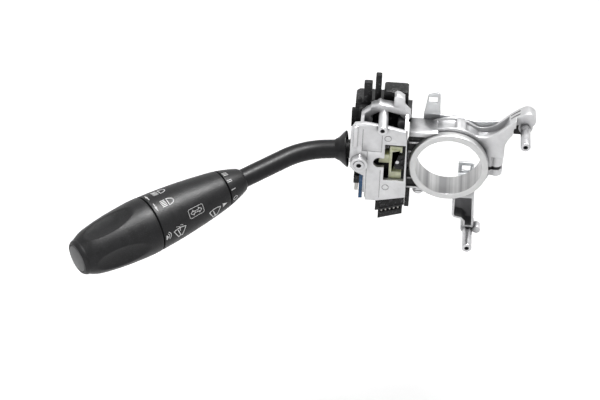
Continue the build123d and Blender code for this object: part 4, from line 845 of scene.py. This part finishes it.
@dataclass
class Stalk:
    """Bent tube of the lever and the flared collar at its root."""

    tilt_point: Point3 = (-54.0, 6.0, 5.85)
    bend_point: Point3 = (-88.6, 6.0, 2.2134)
    tube_r: float = 5.75
    bore_r: float = 4.25
    bend_r: float = 40.0
    bend_steps: int = 40
    start: float = 7.0
    end: float = 144.1
    collar_r: float = 11.2
    collar_start: float = 7.8
    collar_end: float = 15.0
    collar_bore_r: float = 5.8
    neck_wall: float = 0.35
    lip_floor: float = 4.0
    flare: Outline = ((0.0, 0.6), (2.0, 2.8), (3.9, 4.9))
    lip: Outline = ((1.6, 0.0), (0.3, 0.0), (0.1, 0.2))
    segments: int = 72

    def build(self, handle: Axes) -> None:
        """Builds the tube and the collar.

        Args:
            handle: The handle's own axes.
        """
        root = (Vector(self.bend_point) - Vector(self.tilt_point)).normalized()
        piece = new_piece("bent_stalk", *self.tube(self.centre_line(root, Vector(handle.axis).normalized())),
                          Look.STALK)
        settle(piece, "lever_body", "stalk_black", "stalk_tube")
        rim, top, r = self.collar_start, self.collar_end, self.collar_bore_r
        flare, lip = ([(self.collar_r - drop, rim + far) for drop, far in side] for side in (self.flare, self.lip))
        outline = [*curve_points((*flare, (r + self.neck_wall, top)), 10), (r, top), (r, rim + self.lip_floor),
                   *lip]
        axes = Axes(self.tilt_point, tuple(root), (0.0, 1.0, 0.0))
        piece = new_piece("stalk_collar", *lathe(axes, outline, 96), Look.STALK)
        settle(piece, "lever_body", "handle_black", "lever_boot")

    def centre_line(self, root: Vector, tip: Vector) -> list[tuple[Vector, Vector]]:
        """Points and directions along the tube: straight, one bend, straight.

        Args:
            root: Direction at the root.
            tip: Direction of the handle.

        Returns:
            Pairs of a point and a direction, in millimetres.
        """
        bend, turn, r = Vector(self.bend_point), root.angle(tip), self.bend_r
        across = (tip - root * tip.dot(root)).normalized()
        entry = bend - root * (r * math.tan(turn / 2))
        line = [(Vector(self.tilt_point) + root * self.start, root)]
        for a in (turn * i / self.bend_steps for i in range(self.bend_steps + 1)):
            spot = entry + root * (r * math.sin(a)) + across * (r * (1 - math.cos(a)))
            line.append((spot, root * math.cos(a) + across * math.sin(a)))
        return [*line, (bend + tip * self.end, tip)]

    def tube(self, line: list[tuple[Vector, Vector]]) -> tuple[list[Vector], Faces]:
        """Skins the centre line outside and inside.

        Args:
            line: Points and directions along the tube.

        Returns:
            Points in metres and faces.
        """
        loops = [(spot, way, self.tube_r) for spot, way in line]
        loops += [(spot, way, self.bore_r) for spot, way in reversed(line)]
        points: list[Vector] = []
        faces: Faces = []
        n = self.segments
        for i, (spot, way, radius) in enumerate(loops):
            side = way.cross(Vector((0.0, 0.0, 1.0))).normalized()
            rise = side.cross(way)
            j = (i + 1) % len(loops)
            for k in range(n):
                u, v = circle_point(radius, math.tau * k / n)
                points.append((spot + side * u + rise * v) * MM)
                faces.append((i * n + k, i * n + (k + 1) % n, j * n + (k + 1) % n, j * n + k))
        return points, faces


# --- printed marks
@dataclass(frozen=True)
class Stroke:
    """A drawn line of a mark, in millimetres."""

    points: Outline
    width: float
    closed: bool = False


@dataclass(frozen=True)
class Mark:
    """A printed mark: its place on the skin, its angle in degrees and what it is drawn with."""

    name: str
    place: float
    angle: float
    strokes: tuple[Stroke, ...] = ()
    fills: tuple[Outline, ...] = ()
    turning: bool = False


def fan(radii: Point2, first: float, step: float, count: int, shift: Point2 = (0.0, 0.0)) -> Outline:
    """Points of an arc or ellipse.

    Args:
        radii: Half sizes along and across.
        first: First angle in degrees.
        step: Step in degrees.
        count: Number of points.
        shift: Its middle.

    Returns:
        The points.
    """
    angles = (math.radians(first + step * k) for k in range(count))
    return tuple((shift[0] + radii[0] * math.cos(a), shift[1] + radii[1] * math.sin(a)) for a in angles)


def lamp_sign() -> tuple[Stroke, ...]:
    """The usual sign of the main beam: level rays and a lamp."""
    rays = (Stroke(((-4.3, v), (-0.9, v)), 0.56) for v in (2.05, 1.05, 0.05, -0.95, -1.95))
    return (*rays, Stroke(fan((3.9, 2.25), 90.0, -180.0 / 14, 15, (0.25, 0.0)), 0.55, closed=True))


def arrow_sign(way: float) -> tuple[tuple[Stroke, ...], tuple[Outline, ...]]:
    """A slim arrow round the handle, to the side given by 1 or -1."""
    head = ((-0.8, -0.3 * way), (0.0, 3.1 * way), (0.8, -0.3 * way))
    return (Stroke(((0.0, -3.0 * way), (0.0, 0.2 * way)), 0.55),), (head,)


def turn_sign() -> tuple[Stroke, ...]:
    """The usual sign of the turn lamps: two open arrows in a frame.

    Returns:
        Its strokes.
    """
    u, v, cut = 5.25, 2.75, 0.7
    border = ((-u, -v + cut), (-u + cut, -v), (u - cut, -v), (u, -v + cut), (u, v - cut), (u - cut, v),
              (-u + cut, v), (-u, v - cut))
    arrow = ((0.5, 0.62), (2.0, 0.62), (2.0, 1.5), (3.95, 0.0), (2.0, -1.5), (2.0, -0.62), (0.5, -0.62))
    left = tuple((-x, y) for x, y in arrow)
    return (Stroke(border, 0.26, closed=True), Stroke(arrow, 0.34, closed=True), Stroke(left, 0.34, closed=True))


def wiper_sign(jets: bool = False) -> tuple[Stroke, ...]:
    """The usual sign of the wiper: a windscreen and its blade, with or without jets.

    Args:
        jets: Whether the washer's jets are drawn.

    Returns:
        Its strokes.
    """
    top = fan((11.3, 11.3), 112.0, -4.0, 12, (0.0, -8.9))
    foot = ((1.3, -4.1), (0.45, -3.75), (-0.45, -3.75), (-1.3, -4.1))
    strokes = [Stroke((*top, *foot), 0.5, closed=True), Stroke(((0.3, -3.9), (-1.4, 1.5)), 0.62)]
    if jets:
        for side in (-1.5, 1.5):
            arch = fan((0.95, 0.95), 20.0, 35.0, 5, (side, 3.0))
            strokes += [Stroke(arch[:2], 0.46), Stroke(arch[2:4], 0.46)]
        strokes.append(Stroke(((0.1, 3.4), (0.1, 0.2)), 0.46))
    return tuple(strokes)


def press_sign() -> tuple[tuple[Stroke, ...], tuple[Outline, ...]]:
    """Sign of the end button: a fingertip and two waves.

    Returns:
        Its strokes and fills.
    """
    waves = tuple(Stroke(fan(radii, -58.0, 14.5, 9, (-1.5, 0.0)), width)
                  for radii, width in (((3.1, 3.0), 0.4), ((1.9, 1.9), 0.42)))
    return waves, (((-1.9, -2.5), (-0.6, -1.2), (-0.45, -0.2), (-0.9, 0.6), (-1.7, 1.0), (-2.0, -0.6)),)


def dial_marks() -> list[Mark]:
    """Stages 0 to III of the dial ring, each read along the handle.

    Returns:
        The marks.
    """
    zero = Stroke(fan((1.65, 1.15), 0.0, 18.0, 20), 0.42, closed=True)
    marks = [Mark("dial_0", 56.6, -4.6, (zero,), turning=True)]
    for count, angle in ((1, 28.2), (2, 57.6), (3, 86.0)):
        levels = (1.05 * (i - (count - 1) / 2) for i in range(count))
        bars = tuple(Stroke(((-1.65, v), (1.65, v)), 0.5) for v in levels)
        marks.append(Mark(f"dial_{count}", 56.8, angle, bars, turning=True))
    return marks


@dataclass
class Prints:
    """Lays the printed marks on the handle's skin as thin closed sheets of ink."""

    skin: HandleSkin
    proud: float = 0.05
    sunk: float = 0.06
    step: float = 0.5
    patch_rings: int = 3

    def marks(self) -> list[Mark]:
        """Lists the marks.

        Returns:
            Every mark of the handle.
        """
        return [
            Mark("mark_push", 108.2, 102.0, *arrow_sign(1.0)),
            Mark("mark_pull", 108.0, 69.5, *arrow_sign(-1.0)),
            Mark("mark_beam_on", 99.7, 106.0, lamp_sign()),
            Mark("mark_beam_flash", 99.8, 70.0, lamp_sign()),
            Mark("mark_turn", 85.7, 24.8, turn_sign()),
            Mark("mark_wiper", 73.0, -4.5, wiper_sign()),
            Mark("mark_pointer", 65.2, 0.0, fills=(((-1.7, 1.35), (-1.7, -1.35), (1.8, 0.0)),)),
            Mark("mark_washer", 99.2, 0.5, wiper_sign(jets=True)),
            Mark("mark_press", 107.2, 3.5, *press_sign()),
            *dial_marks(),
        ]

    def build(self) -> None:
        """Builds every mark."""
        for mark in self.marks():
            sheets = [self.ribbon(stroke) for stroke in mark.strokes] + [self.patch(fill) for fill in mark.fills]
            points: list[Vector] = []
            faces: Faces = []
            for spots, rows in sheets:
                self.lay(mark, spots, rows, points, faces)
            piece = new_piece(mark.name, points, faces, Look.INK, sharp_degrees=50.0)
            settle(piece, "rotor_body" if mark.turning else "lever_body", "handle_black")

    def divided(self, corners: Sequence[Vector]) -> list[Vector]:
        """Divides a line into short steps.

        Args:
            corners: The line's corners.

        Returns:
            Its points, without the last corner.
        """
        line: list[Vector] = []
        for a, b in zip(corners, corners[1:]):
            count = max(1, math.ceil((b - a).length / self.step))
            line += [a.lerp(b, k / count) for k in range(count)]
        return line

    def ribbon(self, stroke: Stroke) -> tuple[list[Point2], Faces]:
        """Turns a stroke into a strip of small quads.

        Args:
            stroke: The stroke.

        Returns:
            Flat points and faces.
        """
        corners = [Vector(p) for p in stroke.points]
        line = self.divided([*corners, corners[0]]) if stroke.closed else [*self.divided(corners), corners[-1]]
        spots: list[Point2] = []
        n = len(line)
        for i, here in enumerate(line):
            before = line[i - 1] if stroke.closed or i else here - (line[1] - here)
            after = line[(i + 1) % n] if stroke.closed or i < n - 1 else here + (here - line[i - 1])
            first, second = (here - before).normalized(), (after - here).normalized()
            way = (first + second).normalized()
            side = Vector((-way.y, way.x))
            half = stroke.width / 2 * (1.0 / max(0.5, side.dot(Vector((-second.y, second.x)))))
            spots += [tuple(here + side * half), tuple(here - side * half)]
        faces = [(2 * i, 2 * i + 1, 2 * i + 3, 2 * i + 2) for i in range(n - 1)]
        if stroke.closed:
            faces.append((2 * n - 2, 2 * n - 1, 1, 0))
        return spots, faces

    def patch(self, fill: Outline) -> tuple[list[Point2], Faces]:
        """Turns a filled outline into rings of small faces round its middle.

        Args:
            fill: The outline.

        Returns:
            Flat points and faces.
        """
        rim = self.divided([Vector(p) for p in (*fill, fill[0])])
        middle = sum(rim, Vector((0.0, 0.0))) / len(rim)
        n, rings = len(rim), self.patch_rings
        spots = [tuple(middle.lerp(p, (ring + 1) / rings)) for ring in range(rings) for p in rim]
        spots.append(tuple(middle))
        faces: Faces = [(len(spots) - 1, k, (k + 1) % n) for k in range(n)]
        for low in range(0, (rings - 1) * n, n):
            faces += [(low + k, low + n + k, low + n + (k + 1) % n, low + (k + 1) % n) for k in range(n)]
        return spots, faces

    def lay(self, mark: Mark, spots: list[Point2], flat: Faces, points: list[Vector], faces: Faces) -> None:
        """Bends a flat sheet over the skin and closes it with a rim and an underside.

        Args:
            mark: The mark, for its place.
            spots: Flat points.
            flat: Flat faces.
            points: Collects points in metres.
            faces: Collects faces.
        """
        matrix = self.skin.axes.matrix()
        base, count = len(points), len(spots)
        middle_r = self.skin.radius(mark.place)
        for lift in (self.proud, -self.sunk):
            for u, v in spots:
                place = mark.place - u
                angle = math.radians(mark.angle) + v / middle_r
                points.append(matrix @ Vector((*circle_point(self.skin.radius(place) + lift, angle), place)))
        edges: set[tuple[int, int]] = set()
        for face in flat:
            faces.append(tuple(base + k for k in face))
            faces.append(tuple(base + count + k for k in reversed(face)))
            edges.update(zip(face, (*face[1:], face[0])))
        for a, b in sorted(edges):
            if (b, a) not in edges:
                faces.append((base + b, base + a, base + count + a, base + count + b))


# --- metal and housings
@dataclass
class ColumnRing:
    """Turned ring with eased edges round the column's bore."""

    bore_r: float = 20.0
    flange_r: float = 24.1
    flange_end: float = 4.6
    neck_r: float = 23.1
    neck_end: float = 5.6
    body_r: float = 22.5
    length: float = 17.3
    edge: float = 0.45

    def build(self) -> None:
        """Builds the ring."""
        e = self.edge
        corners = [(self.bore_r, 0.0, e), (self.flange_r, 0.0, e * 2), (self.flange_r, self.flange_end, e),
                   (self.neck_r, self.flange_end, 0), (self.neck_r, self.neck_end, 0),
                   (self.body_r, self.neck_end, 0), (self.body_r, self.length, e), (self.bore_r, self.length, e)]
        axes = Axes((0.0, 0.0, 0.0), (0.0, 1.0, 0.0), (1.0, 0.0, 0.0))
        piece = new_piece("turned_ring", *lathe(axes, soft_corners(corners, 4), 240), Look.TURNED)
        settle(piece, "column_body", "machined_aluminium", "column_ring")


@dataclass(frozen=True)
class Eased:
    """A CAD node that is dressed with eased edges, and their width in millimetres."""

    node: str
    slot: str
    width: float
    body: str = "column_body"


@dataclass
class EasedParts:
    """Castings, sheet and plastic pieces with small roundings on their edges."""

    edge_degrees: float = 28.0
    flat_degrees: float = 0.6
    smooth_degrees: float = 36.0
    segments: int = 2
    parts: tuple[Eased, ...] = (
        Eased("column_bracket", "cast_aluminium", 0.4),
        Eased("lower_arm", "cast_aluminium", 0.35),
        Eased("switch_frame", "cast_aluminium", 0.3),
        Eased("frame_arch", "cast_aluminium", 0.35),
        Eased("cover_plate", "sheet_steel", 0.15),
        Eased("rear_housing", "housing_black", 0.25),
        Eased("harness_socket", "housing_black", 0.25),
        Eased("lower_connector", "housing_black", 0.2),
        Eased("cancel_slider", "cream_plastic", 0.2, "slider_body"),
        Eased("slider_guide", "housing_black", 0.2),
        Eased("mechanism_roof", "housing_black", 0.25),
        Eased("side_block", "housing_black", 0.25),
        Eased("right_post", "post_steel", 0.2),
        Eased("lower_post", "post_steel", 0.2),
    )

    def build(self) -> None:
        """Builds every piece of the list."""
        for part in self.parts:
            settle(self.eased(part), part.body, part.slot, part.node)

    def eased(self, part: Eased) -> Piece:
        """Copies a node, merges it and rounds its edges.

        Args:
            part: What to dress.

        Returns:
            The new piece.
        """
        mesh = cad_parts[part.node].data.copy()
        shape = bmesh.new()
        shape.from_mesh(mesh)
        bmesh.ops.remove_doubles(shape, verts=shape.verts, dist=MERGE_DISTANCE)
        bmesh.ops.dissolve_limit(shape, angle_limit=math.radians(self.flat_degrees), verts=shape.verts,
                                 edges=shape.edges, use_dissolve_boundaries=False)
        shape.to_mesh(mesh)
        shape.free()
        piece = add_object(f"{part.node}_dressed", mesh)
        ease = piece.modifiers.new("ease", "BEVEL")
        ease.width = part.width * MM
        ease.segments = self.segments
        ease.limit_method = "ANGLE"
        ease.angle_limit = math.radians(self.edge_degrees)
        ease.use_clamp_overlap = True
        ease.miter_outer = "MITER_ARC"
        ease.harden_normals = False
        look = next(look for look, nodes in NODE_LOOKS.items() if part.node in nodes)
        keep_result(piece, look, self.smooth_degrees)
        return piece


# --- what repeats
class Repeater(NodeGroup):
    """A geometry tree that repeats a small part on seed points, kept as a plain mesh; its sizes are in metres."""

    kind = "GeometryNodeTree"

    def run(self, name: str, part: Socket, seeds: Sequence[Point3], look: Look) -> Piece:
        """Ends the tree with real geometry and its material, and runs it.

        Args:
            name: The new piece's name.
            part: The socket that holds the part to repeat.
            seeds: Points in millimetres that carry it.
            look: The finish.

        Returns:
            The finished piece.
        """
        w = self.w
        copies = w.add("GeometryNodeInstanceOnPoints", Points=self.start["Geometry"], Instance=part)
        real = w.add("GeometryNodeRealizeInstances", Geometry=copies.outputs[0])
        dressed = w.add("GeometryNodeSetMaterial", Geometry=real.outputs[0], Material=look.value.material())
        mesh = bpy.data.meshes.new(name)
        mesh.from_pydata([tuple(v * MM for v in seed) for seed in seeds], [], [])
        piece = add_object(name, mesh)
        modifier = piece.modifiers.new("repeat", "NODES")
        modifier.node_group = self.close(Geometry=dressed.outputs[0])
        for item in self.tree.interface.items_tree:
            if item.in_out == "INPUT" and item.name in self.sizes:
                modifier[item.identifier] = self.sizes[item.name]
        keep_result(piece, look)
        return piece


@dataclass
class SmallHardware:
    """Threads of the clamp screw and domed rivet heads."""

    clamp: Point2 = (28.8, 10.0)
    thread_low: float = -3.4
    thread_pitch: float = 0.6
    thread_count: int = 4
    thread_r: float = 2.0
    thread_depth: float = 0.26
    rivet_circle_r: float = 24.25
    rivet_angles: tuple[float, ...] = (62.0, 152.0, 238.0, 315.0)
    rivet_back: float = 19.5
    rivet_r: float = 2.0
    rivet_dome: float = 0.5

    def build(self) -> None:
        """Builds both groups."""
        self.build_threads()
        self.build_domes()

    def build_threads(self) -> None:
        """Rings of thread on the screw's shank where the clamp is slit."""
        rings = Repeater("thread_rings", {"Radius": self.thread_r * MM, "Depth": self.thread_depth * MM},
                         Geometry="Geometry")
        w = rings.w
        ring = w.add("GeometryNodeCurvePrimitiveCircle", Resolution=40, Radius=rings.start["Radius"])
        ridge = w.add("GeometryNodeCurvePrimitiveCircle", Resolution=4, Radius=rings.start["Depth"])
        body = w.add("GeometryNodeCurveToMesh", Curve=ring.outputs[0], Profile_Curve=ridge.outputs[0])
        seeds = [(*self.clamp, self.thread_low + i * self.thread_pitch) for i in range(self.thread_count)]
        settle(rings.run("clamp_thread", body.outputs[0], seeds, Look.PLATED), "column_body", "post_steel")

    def build_domes(self) -> None:
        """Flattened domes on the rivets behind the cover plate."""
        domes = Repeater("rivet_domes", {"Radius": self.rivet_r * MM, "Dome": self.rivet_dome * MM},
                         Geometry="Geometry")
        w, radius = domes.w, domes.start["Radius"]
        ball = w.add("GeometryNodeMeshUVSphere", Segments=28, Rings=16, Radius=radius)
        flat = w.add("ShaderNodeCombineXYZ", X=1.0, Y=w.math("DIVIDE", domes.start["Dome"], radius), Z=1.0)
        squeezed = w.add("GeometryNodeTransform", Geometry=ball.outputs[0], Scale=flat.outputs[0])
        seeds = []
        for angle in self.rivet_angles:
            x, z = circle_point(self.rivet_circle_r, math.radians(angle))
            seeds.append((x, self.rivet_back, z))
        settle(domes.run("rivet_domes", squeezed.outputs[0], seeds, Look.PLATED), "column_body", "post_steel")


# --- studio
@dataclass(frozen=True)
class Lamp:
    """A soft lamp: its place and size in metres, its power in watts and the direction of its width."""

    name: str
    place: Point3
    size: Point2
    power: float
    along: Point3 = (1.0, 0.0, 0.0)
    gloss_only: bool = False

    def build(self, target: Point3) -> None:
        """Adds the lamp, aimed at the part's middle.

        Args:
            target: Where it points.
        """
        data = bpy.data.lights.new(self.name, "AREA")
        data.shape = "RECTANGLE"
        data.size, data.size_y = self.size
        data.energy = self.power
        lamp = add_object(self.name, data)
        back = (Vector(self.place) - Vector(target)).normalized()
        side = (Vector(self.along) - back * back.dot(Vector(self.along))).normalized()
        turn = Matrix((side, back.cross(side), back)).transposed()
        lamp.matrix_world = Matrix.Translation(self.place) @ turn.to_4x4()
        lamp.visible_diffuse = not self.gloss_only


@dataclass
class Studio:
    """Floor, world, lamps and camera."""

    azimuth: float = 3.0
    elevation: float = 38.5
    roll: float = 2.0
    distance: float = 1.4
    focal_px: float = 2310.0
    image: Point2 = (600.0, 400.0)
    origin_px: Point2 = (448.3, 168.0)
    sensor: float = 36.0
    clip: Point2 = (0.01, 100.0)
    floor_z: float = -0.16
    floor_half: float = 30.0
    floor_grey: Colour = (0.86, 0.86, 0.86)
    floor_glow: float = 0.6
    white: float = 1.0
    world_light: float = 0.4
    target: Point3 = (-0.06, 0.0, 0.0)
    lamps: tuple[Lamp, ...] = (
        Lamp("strip", (0.0, 0.29, 0.95), (0.6, 0.08), 2.8),
        Lamp("sheen", (0.2, 0.1, 0.95), (0.8, 0.2), 32.0, along=(0.775, 0.62, 0.0), gloss_only=True),
        Lamp("key", (-0.7, -0.5, 0.9), (0.3, 0.3), 1.0),
        Lamp("low", (-0.35, -0.75, -0.1), (0.9, 0.12), 0.8),
    )

    def build(self) -> None:
        """Builds the whole studio."""
        self.make_camera()
        self.make_world()
        self.make_floor()
        for lamp in self.lamps:
            lamp.build(self.target)

    def make_camera(self) -> None:
        """Places the camera so that the frame's origin lands on its pixel."""
        a, e, roll = (math.radians(v) for v in (self.azimuth, self.elevation, self.roll))
        back = Vector((math.sin(a) * math.cos(e), -math.cos(a) * math.cos(e), math.sin(e)))
        level = Vector((math.cos(a), math.sin(a), 0.0))
        rise = back.cross(level)
        right = level * math.cos(roll) + rise * math.sin(roll)
        up = rise * math.cos(roll) - level * math.sin(roll)
        per_px = self.distance / self.focal_px
        shift_x = (self.origin_px[0] - self.image[0] / 2) * per_px
        shift_y = (self.image[1] / 2 - self.origin_px[1]) * per_px
        place = back * self.distance - right * shift_x - up * shift_y
        data = bpy.data.cameras.new("camera")
        data.sensor_width = self.sensor
        data.lens = self.focal_px * self.sensor / self.image[0]
        data.clip_start, data.clip_end = self.clip
        camera = add_object("camera", data)
        camera.matrix_world = Matrix.Translation(place) @ Matrix((right, up, back)).transposed().to_4x4()
        bpy.context.scene.camera = camera

    @staticmethod
    def seen(w: Wiring) -> Socket:
        """Tells rays that see the studio from rays that only carry light.

        Args:
            w: Wiring of the material's or world's tree.

        Returns:
            A socket that is 1 for camera, mirror and glass rays.
        """
        path = w.add("ShaderNodeLightPath").outputs
        seen = w.math("MAXIMUM", path["Is Camera Ray"], path["Is Glossy Ray"])
        return w.math("MAXIMUM", seen, path["Is Transmission Ray"])

    def make_world(self) -> None:
        """White to the camera and to reflections, a plain grey light to everything else."""
        world = bpy.data.worlds.new("studio")
        w = Wiring.of(world)
        level = w.remap(self.seen(w), 0.0, 1.0, self.world_light, self.white)
        back = w.add("ShaderNodeBackground", Color=WHITE, Strength=level)
        w.add("ShaderNodeOutputWorld", Surface=back.outputs[0])
        bpy.context.scene.world = world

    def make_floor(self) -> None:
        """A pale floor well below the part."""
        half = self.floor_half
        mesh = bpy.data.meshes.new("floor")
        corners = [(x, y, self.floor_z) for x, y in ((-half, -half), (half, -half), (half, half), (-half, half))]
        mesh.from_pydata(corners, [], [(0, 1, 2, 3)])
        material = bpy.data.materials.new("floor_white")
        w = Wiring.of(material)
        paint = w.add("ShaderNodeBsdfDiffuse", Color=rgba(self.floor_grey)).outputs[0]
        glow = w.add("ShaderNodeEmission", Color=WHITE, Strength=self.floor_glow)
        both = w.add("ShaderNodeAddShader", in_0=paint, in_1=glow.outputs[0])
        pick = w.add("ShaderNodeMixShader", in_0=self.seen(w), in_1=paint, in_2=both.outputs[0])
        w.add("ShaderNodeOutputMaterial", Surface=pick.outputs[0])
        mesh.materials.append(material)
        add_object("floor", mesh)


def main() -> None:
    """Builds the scene in order."""
    logging.basicConfig(level=logging.INFO, format="%(name)s: %(message)s")
    bpy.context.scene.view_settings.view_transform = "Standard"
    dress_nodes()
    skin = HandleSkin()
    skin.build()
    Knob(skin).build()
    Stalk().build(skin.axes)
    Prints(skin).build()
    ColumnRing().build()
    EasedParts().build()
    SmallHardware().build()
    Studio().build()


if __name__ == "__main__":
    main()
